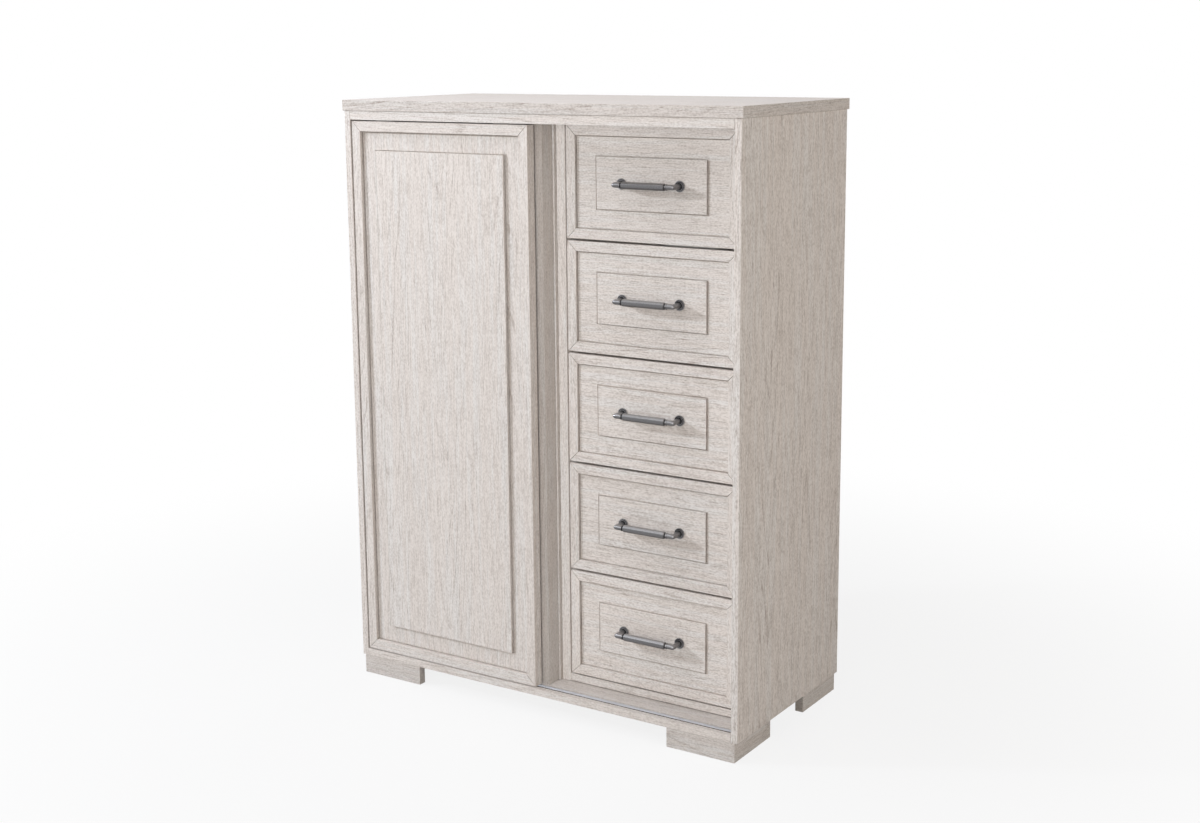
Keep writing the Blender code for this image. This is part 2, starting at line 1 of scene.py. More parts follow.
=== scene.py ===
"""Looks of a sliding door chest in pale washed oak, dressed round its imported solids.

Metres, +Z up, and the front faces -Y. Each board is rebuilt with eased edges over the box of its solid, so its
size and place come from the frame. A corner attribute carries the run of the grain on every face of a board.
"""

from __future__ import annotations

import json
import logging
import math
import zlib
from dataclasses import dataclass, field, replace
from enum import Enum
from typing import Sequence

import bmesh
import bpy
import numpy as np
from mathutils import Matrix, Vector

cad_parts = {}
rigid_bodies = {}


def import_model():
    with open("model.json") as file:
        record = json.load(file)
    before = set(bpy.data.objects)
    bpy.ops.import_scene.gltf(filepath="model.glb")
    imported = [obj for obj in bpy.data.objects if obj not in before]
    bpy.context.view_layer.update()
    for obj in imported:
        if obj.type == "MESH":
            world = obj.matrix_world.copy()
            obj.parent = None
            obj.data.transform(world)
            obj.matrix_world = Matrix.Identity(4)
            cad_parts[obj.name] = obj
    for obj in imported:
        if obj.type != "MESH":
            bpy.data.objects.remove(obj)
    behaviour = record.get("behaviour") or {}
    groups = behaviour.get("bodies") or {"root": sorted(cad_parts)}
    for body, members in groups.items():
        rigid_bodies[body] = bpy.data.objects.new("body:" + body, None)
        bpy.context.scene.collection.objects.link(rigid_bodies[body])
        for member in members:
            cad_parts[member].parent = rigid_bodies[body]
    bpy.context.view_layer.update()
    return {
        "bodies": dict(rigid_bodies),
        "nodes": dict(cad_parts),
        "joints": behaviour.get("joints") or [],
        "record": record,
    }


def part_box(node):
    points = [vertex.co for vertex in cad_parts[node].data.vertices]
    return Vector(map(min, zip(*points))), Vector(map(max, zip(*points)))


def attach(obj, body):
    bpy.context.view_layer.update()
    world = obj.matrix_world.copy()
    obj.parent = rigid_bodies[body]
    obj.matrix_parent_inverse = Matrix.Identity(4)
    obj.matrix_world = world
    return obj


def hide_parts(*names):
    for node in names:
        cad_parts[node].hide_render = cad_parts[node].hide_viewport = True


Array = np.ndarray
Piece = bpy.types.Object
Span = tuple[float, float]
Point = tuple[float, float, float]
Colour = Point
Box = tuple[Array, Array]
Outline = Sequence[Span]

LOG = logging.getLogger("chest")
GRAIN = "grain"
PATINA_AND_SHADE = "patina_and_shade"
SIDES = ("left", "right")
DRAWERS = tuple(f"drawer_{number}" for number in range(1, 6))
EASE_ANGLE = math.radians(30)
EASE_SEGMENTS = 2
SHARP_ANGLE = math.radians(32)
FACING = 0.9
PRINT_SHIFT = 4.0
FACE_SHIFT = 1.7
SLICE_STEP, KNOT_SLICE_STEP = 3.0, 5.0
MOTTLE_DETAIL = 3.0
FLECK_CUT, STAIN_CUT = (0.42, 0.68), (0.35, 0.7)
STAIN_FINE, STAIN_BROAD = 0.4, 0.6
FLECK_SHEEN, METAL_SHEEN = 0.2, 0.24
OAK_SPECULAR, FLECK_SPECULAR = 0.2, 0.3
OAK_BUMP, FLECK_BUMP, METAL_BUMP = (0.25, 0.0002), (0.3, 0.0002), (0.12, 0.0001)
UP, LEFT, RIGHT, AHEAD = (0.0, 0.0, 1.0), (-1.0, 0.0, 0.0), (1.0, 0.0, 0.0), (0.0, -1.0, 0.0)
DRAWER_KINDS = ("oak", "cast", "lined", "board", "steel", "beech")
BAY = (*(f"{kind}_drawer_" for kind in DRAWER_KINDS), "oak_bottom_panel", "metal_door_track")
PASSED_BOARDS = ("door_", "top_panel", "sub_top", "side_panel_left", "partition", "shelf_")
PASSED_BAY = ("drawer_bay_filler", "drawer_stile_left")
KEY_PASSES = (*(f"oak_{board}" for board in PASSED_BOARDS + PASSED_BAY), "upper_guide_", "roller_")


class Axis(Enum):
    """A direction of the shared frame, as the place of its number in a point."""

    X = 0
    Y = 1
    Z = 2


class Slot(Enum):
    """Material slots of the record."""

    OAK = "oak_laminate"
    INNER = "inner_laminate"
    HARDBOARD = "hardboard"
    LINING = "box_lining"
    TIMBER = "runner_timber"
    TRACK = "track_metal"
    PEWTER = "pewter"


@dataclass
class Shell:
    """A closed surface and the run of the grain on it.

    Args:
        points: array of n points by 3.
        faces: point numbers of each face.
        grain: direction of the grain.
    """

    points: Array
    faces: list[list[int]]
    grain: Axis = Axis.X


def lofted(rings: Array, grain: Axis = Axis.X) -> Shell:
    """Join rings in order to a closed shell, with flat caps at both ends.

    Each quad joins (i, j), (i, j + 1), (i + 1, j + 1) and (i + 1, j) of row i and column j, with closed columns.

    Args:
        rings: array of rows by columns by 3.
        grain: direction of the grain.

    Returns:
        The shell.
    """
    rows, columns = rings.shape[:2]
    row, column = np.meshgrid(np.arange(rows - 1), np.arange(columns), indexing="ij")
    after = (column + 1) % columns
    low, high = row * columns, (row + 1) * columns
    quads = np.stack([low + column, low + after, high + after, high + column], axis=-1).reshape(-1, 4)
    caps = np.arange(rows * columns).reshape(rows, columns)[[0, -1]]
    return Shell(rings.reshape(-1, 3), quads.tolist() + caps.tolist(), grain)


def prism(outline: Outline, axis: Axis, span: Span, grain: Axis) -> Shell:
    """Carry an outline straight along an axis.

    Args:
        outline: corners across the axis, in the order of the two other directions.
        axis: direction that it is carried in.
        span: where it starts and ends.
        grain: direction of the grain.

    Returns:
        The closed shell.
    """
    others = [k for k in range(3) if k != axis.value]
    rings = np.empty((2, len(outline), 3))
    rings[:, :, others] = np.asarray(outline)
    rings[:, :, axis.value] = np.asarray(span)[:, None]
    return lofted(rings, grain)


def slotted(wide: Span, tall: Span, below: Sequence[Point] = (), above: Sequence[Point] = ()) -> Outline:
    """A rectangle with slots in its lower and upper edge.

    Args:
        wide: start and end in the first direction.
        tall: start and end in the second direction.
        below: start, end and floor of each slot in the lower edge, in order.
        above: the same for the upper edge.

    Returns:
        The corners in order.
    """
    edges = []
    for edge, slots in zip(tall, (below, above)):
        cuts = [[(start, edge), (start, floor), (end, floor), (end, edge)] for start, end, floor in slots]
        edges.append([(wide[0], edge), *sum(cuts, []), (wide[1], edge)])
    return edges[0] + edges[1][::-1]


def block(low: Sequence[float], high: Sequence[float], grain: Axis) -> Shell:
    """A box between two corners."""
    x, y, z = zip(low, high)
    return prism(slotted(x, y), Axis.Z, z, grain)


def grooved_slab(slab: Box, panel: Box, frame: float, groove: Span, moat: Span, grain: Axis) -> Shell:
    """A slab whose front carries a groove inside its frame and another round the foot of a raised panel.

    The rows of the loft are rectangles in X and Z: the back's edge, the front's edge, and for each groove its outer
    rim, the outer and inner edge of its floor, and its inner rim.

    Args:
        slab: corners of the slab.
        panel: corners of the panel.
        frame: width of the frame on the slab's edge.
        groove: width of the frame's groove, and depth of both.
        moat: width of the panel's groove beside the panel, and over and under it.
        grain: direction of the grain.

    Returns:
        The closed shell.
    """
    width, depth = groove
    edge, foot = (np.array([corner[[0, 2]] for corner in corners]) for corners in (slab, panel))
    outward = np.array([[-1.0], [1.0]])
    rim = foot + np.asarray(moat) * outward
    inner = edge - frame * outward
    sill = inner - width * outward
    front, back, floor = slab[0][1], slab[1][1], slab[0][1] + depth
    rectangles = np.array([edge, edge, inner, inner, sill, sill, rim, rim, foot, foot])
    rings = np.empty((len(rectangles), 4, 3))
    rings[:, :, 0] = rectangles[:, [0, 1, 1, 0], 0]
    rings[:, :, 1] = np.array([back, front, *(2 * [front, floor, floor, front])])[:, None]
    rings[:, :, 2] = rectangles[:, [0, 0, 1, 1], 1]
    return lofted(rings, grain)


@dataclass(frozen=True)
class RoundHead:
    """The low dome of a nail or a screw that looks to the back.

    Args:
        radius: radius of its foot.
        height: how far it stands out.
        fullness: share of half a turn that its profile takes.
        rows: rings from the foot to the top.
        sides: points round a ring.
    """

    radius: float
    height: float
    fullness: float
    rows: int
    sides: int

    def shell(self, foot: Sequence[float]) -> Shell:
        """Turn the dome: at rise s and angle t, the foot plus (r cos s cos t, h sin s, r cos s sin t)."""
        turn = np.linspace(0, 2 * np.pi, self.sides, endpoint=False)
        rise = np.linspace(0, self.fullness * np.pi, self.rows)[:, None]
        radius, reach = self.radius * np.cos(rise), self.height * np.sin(rise)
        rings = np.stack([radius * np.cos(turn), reach + 0 * turn, radius * np.sin(turn)], axis=-1)
        return lofted(rings + np.asarray(foot))


def gathered(items: bpy.types.bpy_prop_collection, key: str, width: int = 1, kind: type = float) -> Array:
    """Read one property of every face, corner or point of a mesh.

    Args:
        items: the faces, corners or points.
        key: name of the property.
        width: numbers that one item has.
        kind: type of the numbers.

    Returns:
        A row for each item, or a plain list where the width is 1.
    """
    values = np.empty(len(items) * width, kind)
    items.foreach_get(key, values)
    return values.reshape(-1, width) if width > 1 else values


def write_grain(mesh: bpy.types.Mesh, face_grain: Array, name: str) -> None:
    """Store along, across and layer at every face corner of a mesh.

    Along is the place in the grain's direction, across the place in the other direction of the face, and layer a
    number that parts one board's print from another's. A face that the grain meets end on takes its long direction.

    Args:
        mesh: mesh whose faces are in their final order.
        face_grain: number of the grain's axis for each face.
        name: name of the piece, which seeds the shift of its print.
    """
    faces = mesh.polygons
    keys = ((mesh.loops, "vertex_index"), (faces, "loop_start"), (faces, "loop_total"))
    corner, start, length = (gathered(items, key, kind=np.int32) for items, key in keys)
    place = gathered(mesh.vertices, "co", 3)[corner]
    extent = np.maximum.reduceat(place, start) - np.minimum.reduceat(place, start)
    facing = np.abs(gathered(faces, "normal", 3)).argmax(1)
    extent[np.arange(len(faces)), facing] = -1.0
    along = np.where(face_grain == facing, extent.argmax(1), face_grain)
    across = 3 - along - facing
    shift = np.random.default_rng(zlib.crc32(name.encode())).uniform(-PRINT_SHIFT, PRINT_SHIFT, 3)
    each = np.repeat(np.arange(len(faces)), length)
    rows = np.arange(len(corner))
    stored = np.stack([place[rows, along[each]], place[rows, across[each]], FACE_SHIFT * facing[each]], axis=-1)
    mesh.attributes.new(GRAIN, "FLOAT_VECTOR", "CORNER").data.foreach_set("vector", (stored + shift).ravel())


def make_piece(name: str, shells: Sequence[Shell], finish: Finish) -> Piece:
    """Make one object of several closed shells, with outward faces and its grain stored.

    Args:
        name: name of the new object.
        shells: its closed surfaces.
        finish: its finish.

    Returns:
        The object, linked to the scene.
    """
    offsets = np.cumsum([0] + [len(shell.points) for shell in shells])
    points = np.concatenate([shell.points for shell in shells])
    faces = [[i + int(base) for i in face] for shell, base in zip(shells, offsets) for face in shell.faces]
    mesh = bpy.data.meshes.new(name)
    mesh.from_pydata(points.tolist(), [], faces)
    turner = bmesh.new()
    turner.from_mesh(mesh)
    bmesh.ops.recalc_face_normals(turner, faces=turner.faces)
    turner.to_mesh(mesh)
    turner.free()
    write_grain(mesh, np.concatenate([np.full(len(shell.faces), shell.grain.value) for shell in shells]), name)
    mesh.materials.append(finish.material())
    made = bpy.data.objects.new(name, mesh)
    bpy.context.scene.collection.objects.link(made)
    return made


def ease_edges(piece: Piece, width: float) -> None:
    """Round the sharp edges of a piece, as far from each edge as the given width."""
    piece.data.shade_smooth()
    ease = piece.modifiers.new("eased_edges", "BEVEL")
    ease.width = width
    ease.segments = EASE_SEGMENTS
    ease.limit_method = "ANGLE"
    ease.angle_limit = EASE_ANGLE
    ease.harden_normals = True


def smooth_round(piece: Piece) -> None:
    """Shade a round piece smooth, and keep its sharp edges."""
    piece.data.shade_smooth()
    piece.data.set_sharp_from_angle(angle=SHARP_ANGLE)


def settle(piece: Piece, body: str, slot: Slot, *nodes: str) -> None:
    """Put a piece on its body and let it stand for its solids.

    Args:
        piece: finished object.
        body: body that it moves with.
        slot: material slot of the record; not used.
        nodes: solids that it replaces.
    """
    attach(piece, body)
    if nodes:
        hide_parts(*nodes)
    LOG.info("%s on %s: %d faces", piece.name, body, len(piece.data.polygons))


def fit_piece(
    kind: str, node: str, shells: Sequence[Shell], finish: Finish, ease: float, body: str, slot: Slot = Slot.OAK
) -> Piece:
    """Make a piece that stands for one solid, ease its edges and settle it.

    Args:
        kind: first word of its name, which the solid's name follows.
        node: solid that it replaces.
        shells: its closed surfaces.
        finish: its finish.
        ease: rounding of its edges, 0 for none.
        body: body that it moves with.
        slot: material slot of the record.

    Returns:
        The object.
    """
    piece = make_piece(f"{kind}_{node}", shells, finish)
    if ease:
        ease_edges(piece, ease)
    settle(piece, body, slot, node)
    return piece


def looking(piece: Piece, way: Point) -> Array:
    """Which faces of a piece look one way."""
    return gathered(piece.data.polygons, "normal", 3) @ np.array(way) > FACING


def paint(piece: Piece, finish: Finish, chosen: Array) -> None:
    """Give the chosen faces of a piece another finish."""
    surfaces, faces = piece.data.materials, piece.data.polygons
    if surfaces.find(finish.name) < 0:
        surfaces.append(finish.material())
    numbers = gathered(faces, "material_index", kind=np.int32)
    numbers[chosen] = surfaces.find(finish.name)
    faces.foreach_set("material_index", numbers)


def spans(node: str) -> Box:
    """Lowest and highest corner of a solid at rest."""
    low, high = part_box(node)
    return np.array(low), np.array(high)


class Wire:
    """A value in a node tree that plain arithmetic works on."""

    def __init__(self, bench: NodeBench, socket: bpy.types.NodeSocket) -> None:
        """Take up an output of the bench's tree."""
        self.bench = bench
        self.socket = socket

    def __add__(self, other: object) -> Wire:
        """Add another wire or a number."""
        return self.bench.calc("ADD", self, other)

    def __sub__(self, other: object) -> Wire:
        """Take another wire or a number from this."""
        return self.bench.calc("SUBTRACT", self, other)

    def __rsub__(self, other: object) -> Wire:
        """Take this from a number."""
        return self.bench.calc("SUBTRACT", other, self)

    def __mul__(self, other: object) -> Wire:
        """Multiply this by another wire or a number."""
        return self.bench.calc("MULTIPLY", self, other)


class NodeBench:
    """Short ways to add nodes to a tree and to join them."""

    def __init__(self, tree: bpy.types.NodeTree) -> None:
        """Work on a tree."""
        self.tree = tree

    def add(self, kind: str, **settings: object) -> bpy.types.Node:
        """Add a node and set its properties."""
        node = self.tree.nodes.new(kind)
        for key, value in settings.items():
            setattr(node, key, value)
        return node

    def feed(self, socket: bpy.types.NodeSocket, value: object) -> None:
        """Join an input to a wire or another node's output, or give it a plain value."""
        if isinstance(value, Wire):
            value = value.socket
        if isinstance(value, bpy.types.NodeSocket):
            self.tree.links.new(value, socket)
        else:
            socket.default_value = value

    def made(self, node: bpy.types.Node, output: str | int, **values: object) -> Wire:
        """Feed a node's inputs by name, with _ for a space, and take up one of its outputs."""
        for name, value in values.items():
            self.feed(node.inputs[name.replace("_", " ")], value)
        return Wire(self, node.outputs[output])

    def row(self, node: bpy.types.Node, *values: object) -> Wire:
        """Feed a node's inputs in order and take up its first output."""
        for socket, value in zip(node.inputs, values):
            self.feed(socket, value)
        return Wire(self, node.outputs[0])

    def calc(self, operation: str, *values: object) -> Wire:
        """Work out a number from others by a Math node."""
        return self.row(self.add("ShaderNodeMath", operation=operation), *values)

    def step(self, value: object, low: float, high: float) -> Wire:
        """Rise smoothly from 0 at low to 1 at high."""
        return self.row(self.add("ShaderNodeMapRange", interpolation_type="SMOOTHSTEP"), value, low, high)

    def point(self, *parts: object) -> Wire:
        """Join three numbers into a vector."""
        return self.row(self.add("ShaderNodeCombineXYZ"), *parts)

    def noise(self, where: Wire, scale: float, detail: float) -> Wire:
        """Smooth noise from 0 to 1 at a point."""
        node = self.add("ShaderNodeTexNoise", noise_dimensions="3D")
        return self.made(node, "Fac", Vector=where, Scale=scale, Detail=detail)

    def mixed(self, factor: Wire, first: object, second: object) -> Wire:
        """Mix two colours."""
        node = self.add("ShaderNodeMix", data_type="RGBA")
        ends = {socket.identifier: socket for socket in (*node.inputs, *node.outputs)}
        for name, value in (("Factor_Float", factor), ("A_Color", first), ("B_Color", second)):
            self.feed(ends[name], value)
        return Wire(self, ends["Result_Color"])

    def blended(self, factor: Wire, first: bpy.types.Node, second: bpy.types.Node) -> Wire:
        """Mix two shaders."""
        return self.row(self.add("ShaderNodeMixShader"), factor, first.outputs[0], second.outputs[0])

    def rays(self) -> tuple[Wire, Wire]:
        """Whether a ray comes from the camera, and whether it comes off or through a surface."""
        ray = self.add("ShaderNodeLightPath").outputs
        mirrored = self.calc("MAXIMUM", ray["Is Glossy Ray"], ray["Is Transmission Ray"])
        return Wire(self, ray["Is Camera Ray"]), mirrored

    def drawn_out(self, length: float) -> Wire:
        """Object coordinates in which marks are longer along X."""
        where = self.add("ShaderNodeTexCoord").outputs["Object"]
        return self.made(self.add("ShaderNodeMapping"), 0, Vector=where, Scale=(1.0 / length, 1.0, 1.0))


@dataclass(frozen=True)
class Layer:
    """One size of noise in the oak print.

    Args:
        along: cycles to the metre along the grain.
        across: cycles to the metre across it.
        detail: octaves of finer noise.
        weight: its strength.
        cut: noise at which a mark starts and is full.
    """

    along: float
    across: float
    detail: float
    weight: float = 1.0
    cut: Span = (0.0, 1.0)

    def noise(self, bench: NodeBench, place: Sequence[Wire]) -> Wire:
        """The layer's noise from 0 to 1, in a slice of its own."""
        along, across, layer = place
        where = bench.point(along * self.along, across * self.across, layer * SLICE_STEP + self.across)
        return bench.noise(where, 1.0, self.detail)

    def marks(self, bench: NodeBench, place: Sequence[Wire]) -> Wire:
        """The noise cut to marks."""
        return bench.step(self.noise(bench, place), *self.cut)


@dataclass(frozen=True)
class OakPrint:
    """The oak figure printed on the boards, built once as a node group.

    Args:
        name: name of the group.
        fibre, hair, streak, tone: layers of even noise.
        fleck, pore: layers of short dark marks.
        cool, haze, tint: layers that mix the cooler colour in, and the sum at which it starts and is full.
        wander: layer that bends the grain, by metres.
        figure: layer of the patches in which growth rings show.
        broken, faint: noise of the fibres at which a ring's line starts and is full, and what shows of it elsewhere.
        ground, line, knot: darkness of the plain ground, of rings and of knots.
        knot_cells, knot_kept: knots to the metre along and across, and the draw at which one is kept.
        knot_core, knot_bend: reach of a knot's core, and of the bend in the rings round it.
        plank: width of a printed plank.
        arch_across, arch_along: rings to the square metre across a plank, and to the metre along it.
        ring_wander, ring_pull, ring_shift: rings by which the wander, a knot and the plank's draw move the figure.
        ring_rise, ring_fall: part of a ring in which its line grows and fades.
        edge: power by which the figure fades to the plank's edges.
        gloss: roughness where the streaks are palest, and how much the darkest add.
        relief: height of hairs, and depth of pores and rings.
    """

    name: str = "oak_print"
    fibre: Layer = Layer(13.0, 430.0, 2.0, 0.55)
    hair: Layer = Layer(190.0, 400.0, 1.0, 1.15)
    streak: Layer = Layer(2.0, 130.0, 3.0, 0.16)
    tone: Layer = Layer(1.2, 16.0, 2.0, 0.1)
    fleck: Layer = Layer(20.0, 500.0, 2.0, 0.2, (0.53, 0.62))
    pore: Layer = Layer(34.0, 760.0, 1.0, 0.3, (0.56, 0.66))
    cool: Layer = Layer(6.0, 320.0, 3.0, 0.4)
    haze: Layer = Layer(3.0, 70.0, 2.0, 0.6)
    tint: Span = (0.46, 0.6)
    wander: Layer = Layer(2.4, 15.0, 2.0, 0.012)
    figure: Layer = Layer(0.9, 7.0, 1.0, cut=(0.42, 0.66))
    broken: Span = (0.4, 0.58)
    faint: float = 0.3
    ground: float = 0.12
    line: float = 0.5
    knot: float = 0.6
    knot_cells: Span = (2.1, 6.5)
    knot_kept: Span = (0.88, 0.92)
    knot_core: Span = (0.01, 0.06)
    knot_bend: Span = (0.0, 0.42)
    plank: float = 0.15
    arch_across: float = 900.0
    arch_along: float = 5.5
    ring_wander: float = 3.0
    ring_pull: float = 2.5
    ring_shift: float = 23.0
    ring_rise: Span = (0.78, 0.95)
    ring_fall: Span = (0.95, 1.0)
    edge: float = 4.0
    gloss: Span = (0.5, 0.16)
    relief: Point = (0.4, 0.8, 0.3)

    def group(self) -> bpy.types.NodeTree:
        """Return the node group, and build it at the first call."""
        return bpy.data.node_groups.get(self.name) or self._built()

    def _built(self) -> bpy.types.NodeTree:
        """Build the group: fibres, cool streaks, growth rings in arches, flecks and knots."""
        tree = bpy.data.node_groups.new(self.name, "ShaderNodeTree")
        taken = {"Grain": "Vector", "Wash": "Color", "Cool": "Color", "Shade": "Color", "Depth": "Float"}
        handed = {"Color": "Color", "Roughness": "Float", "Height": "Float"}
        for way, sockets in (("INPUT", taken), ("OUTPUT", handed)):
            for name, kind in sockets.items():
                tree.interface.new_socket(name, in_out=way, socket_type=f"NodeSocket{kind}")
        bench = NodeBench(tree)
        given = bench.add("NodeGroupInput").outputs
        parts = bench.add("ShaderNodeSeparateXYZ")
        bench.feed(parts.inputs[0], given["Grain"])
        along, across, layer = (Wire(bench, part) for part in parts.outputs)
        sway = (self.wander.noise(bench, (along, across, layer)) - 0.5) * self.wander.weight
        place = (along, across + sway, layer)
        even = {part: part.noise(bench, place) for part in (self.fibre, self.hair, self.streak, self.tone)}
        marks = {part: part.marks(bench, place) for part in (self.fleck, self.pore)}
        knot, pull = self._knots(bench, place)
        ring, patch = self._rings(bench, place, pull)
        breaks = bench.step(even[self.fibre], *self.broken) * (1.0 - self.faint) + self.faint
        line = ring * (patch * breaks)
        waves = line * self.line
        for part, noise in even.items():
            waves = waves + (noise - 0.5) * part.weight
        for part, mark in marks.items():
            waves = waves + mark * part.weight
        dark = waves * given["Depth"] + self.ground + knot * self.knot
        dark = bench.calc("MAXIMUM", bench.calc("MINIMUM", dark, 1.0), 0.0)
        cool, haze = (part.noise(bench, place) * part.weight for part in (self.cool, self.haze))
        ground = bench.mixed(bench.step(cool + haze, *self.tint), given["Wash"], given["Cool"])
        hairs, pores, rings = self.relief
        out = bench.add("NodeGroupOutput").inputs
        bench.feed(out["Color"], bench.mixed(dark, ground, given["Shade"]))
        bench.feed(out["Roughness"], even[self.streak] * self.gloss[1] + self.gloss[0])
        bench.feed(out["Height"], even[self.hair] * hairs - marks[self.pore] * pores - line * rings)
        return tree

    def _knots(self, bench: NodeBench, place: Sequence[Wire]) -> tuple[Wire, Wire]:
        """Rare knots, as long cells of which few are kept.

        Args:
            bench: bench of the group.
            place: along, across and layer.

        Returns:
            The knot's darkness, and how far it bends the rings near it.
        """
        along, across, layer = place
        where = bench.point(along * self.knot_cells[0], across * self.knot_cells[1], layer * KNOT_SLICE_STEP)
        cell = bench.add("ShaderNodeTexVoronoi", voronoi_dimensions="3D", feature="F1")
        reach = bench.made(cell, "Distance", Vector=where, Scale=1.0)
        kept = bench.step(bench.row(bench.add("ShaderNodeSeparateColor"), cell.outputs["Color"]), *self.knot_kept)
        core, bend = ((1.0 - bench.step(reach, *span)) * kept for span in (self.knot_core, self.knot_bend))
        return core, bend

    def _rings(self, bench: NodeBench, place: Sequence[Wire], pull: Wire) -> tuple[Wire, Wire]:
        """Growth rings as arches: contour lines of a parabola across each plank that climbs along it.

        Args:
            bench: bench of the group.
            place: along, across and layer.
            pull: how far a knot bends the rings.

        Returns:
            The ring's line from 0 to 1, and the patches where the figure shows.
        """
        along, across, layer = place
        half = 0.5 * self.plank
        count = bench.calc("DIVIDE", across, self.plank)
        local = (bench.calc("FRACT", count) - 0.5) * self.plank
        chance = bench.add("ShaderNodeTexWhiteNoise", noise_dimensions="2D")
        cell = bench.point(bench.calc("FLOOR", count), bench.calc("FLOOR", layer), 0.0)
        draw = bench.made(chance, "Value", Vector=cell)
        aside = local - (draw - 0.5) * half
        height = aside * aside * self.arch_across
        height = height + along * self.arch_along * bench.calc("SIGN", draw - 0.5)
        height = height + self.wander.noise(bench, place) * self.ring_wander
        height = height + pull * self.ring_pull + draw * self.ring_shift
        turn = bench.calc("FRACT", height)
        ring = bench.step(turn, *self.ring_rise) - bench.step(turn, *self.ring_fall)
        edge = bench.calc("POWER", bench.calc("ABSOLUTE", bench.calc("DIVIDE", local, half)), self.edge)
        return ring, self.figure.marks(bench, place) * (1.0 - edge)


def new_surface(name: str) -> tuple[bpy.types.Material, NodeBench, bpy.types.Node]:
    """Start a material, and return it with a bench on its nodes and its Principled shader."""
    made = bpy.data.materials.new(name)
    made.use_nodes = True
    return made, NodeBench(made.node_tree), made.node_tree.nodes["Principled BSDF"]


Looks = tuple[dict[str, object], object, Span]


@dataclass(frozen=True)
class Finish:
    """A material that is built at its first use.

    Args:
        name: name of the material.
    """

    name: str

    def material(self) -> bpy.types.Material:
        """Return the material, and build it at the first call."""
        made = bpy.data.materials.get(self.name)
        if made is None:
            made, bench, shader = new_surface(self.name)
            inputs, height, (share, depth) = self._looks(bench)
            relief = bench.made(bench.add("ShaderNodeBump"), 0, Strength=share, Distance=depth, Height=height)
            for name, value in {**inputs, "Normal": relief}.items():
                bench.feed(shader.inputs[name], value)
        return made

    def _looks(self, bench: NodeBench) -> Looks:
        """Build nodes for the shader's inputs, a height, and the share and depth of it that show."""
        raise NotImplementedError


@dataclass(frozen=True)
class OakFinish(Finish):
    """Pale washed oak laminate.

    Args:
        wash: colour of the warm pale ground.
        cool: colour of the cooler streaks in it.
        shade: colour of the dark grain.
        depth: strength of the grain.
    """

    wash: Colour = (0.672, 0.620, 0.578)
    cool: Colour = (0.677, 0.646, 0.616)
    shade: Colour = (0.36, 0.305, 0.268)
    depth: float = 1.0

    def toned(self, name: str, tone: float, depth: float) -> OakFinish:
        """The same laminate in a deeper or lighter tone."""
        colours = (tuple(tone * c for c in colour) for colour in (self.wash, self.cool, self.shade))
        return OakFinish(name, *colours, depth)

    def _looks(self, bench: NodeBench) -> Looks:
        """Join the stored grain to the oak print."""
        figure = bench.add("ShaderNodeGroup", node_tree=OakPrint().group())
        grain = bench.add("ShaderNodeAttribute", attribute_name=GRAIN).outputs["Vector"]
        colours = ((*colour, 1.0) for colour in (self.wash, self.cool, self.shade))
        colour = bench.row(figure, grain, *colours, self.depth)
        inputs = {"Base Color": colour, "Roughness": figure.outputs["Roughness"], "Specular IOR Level": OAK_SPECULAR}
        return inputs, figure.outputs["Height"], OAK_BUMP


@dataclass(frozen=True)
class FleckFinish(Finish):
    """A board, paper or moulded surface with fine flecks of a second colour.

    Args:
        ground: main colour.
        fleck: colour of the flecks.
        scale: flecks to the metre.
        stretch: how much longer a fleck is along X.
        share: darkness of the flecks from 0 to 1.
        roughness: mean roughness.
        cloud: strength of the broad clouds in the colour.
        cloud_sizes: clouds for each fleck along a line, in two sizes.
    """

    ground: Colour
    fleck: Colour
    scale: float
    stretch: float = 1.0
    share: float = 0.5
    roughness: float = 0.6
    cloud: float = 0.3
    cloud_sizes: Span = (0.18, 0.02)

    def _looks(self, bench: NodeBench) -> Looks:
        """Mix the flecks into the ground by three sizes of noise."""
        where = bench.drawn_out(self.stretch)
        sizes = (1.0, *self.cloud_sizes)
        fine, broad, drift = (bench.noise(where, self.scale * size, MOTTLE_DETAIL) for size in sizes)
        mask = (broad + drift - 1.0) * self.cloud + bench.step(fine, *FLECK_CUT) * self.share
        colour = bench.mixed(bench.calc("MAXIMUM", mask, 0.0), (*self.ground, 1.0), (*self.fleck, 1.0))
        rough = fine * FLECK_SHEEN + (self.roughness - FLECK_SHEEN / 2)
        return {"Base Color": colour, "Roughness": rough, "Specular IOR Level": FLECK_SPECULAR}, fine, FLECK_BUMP


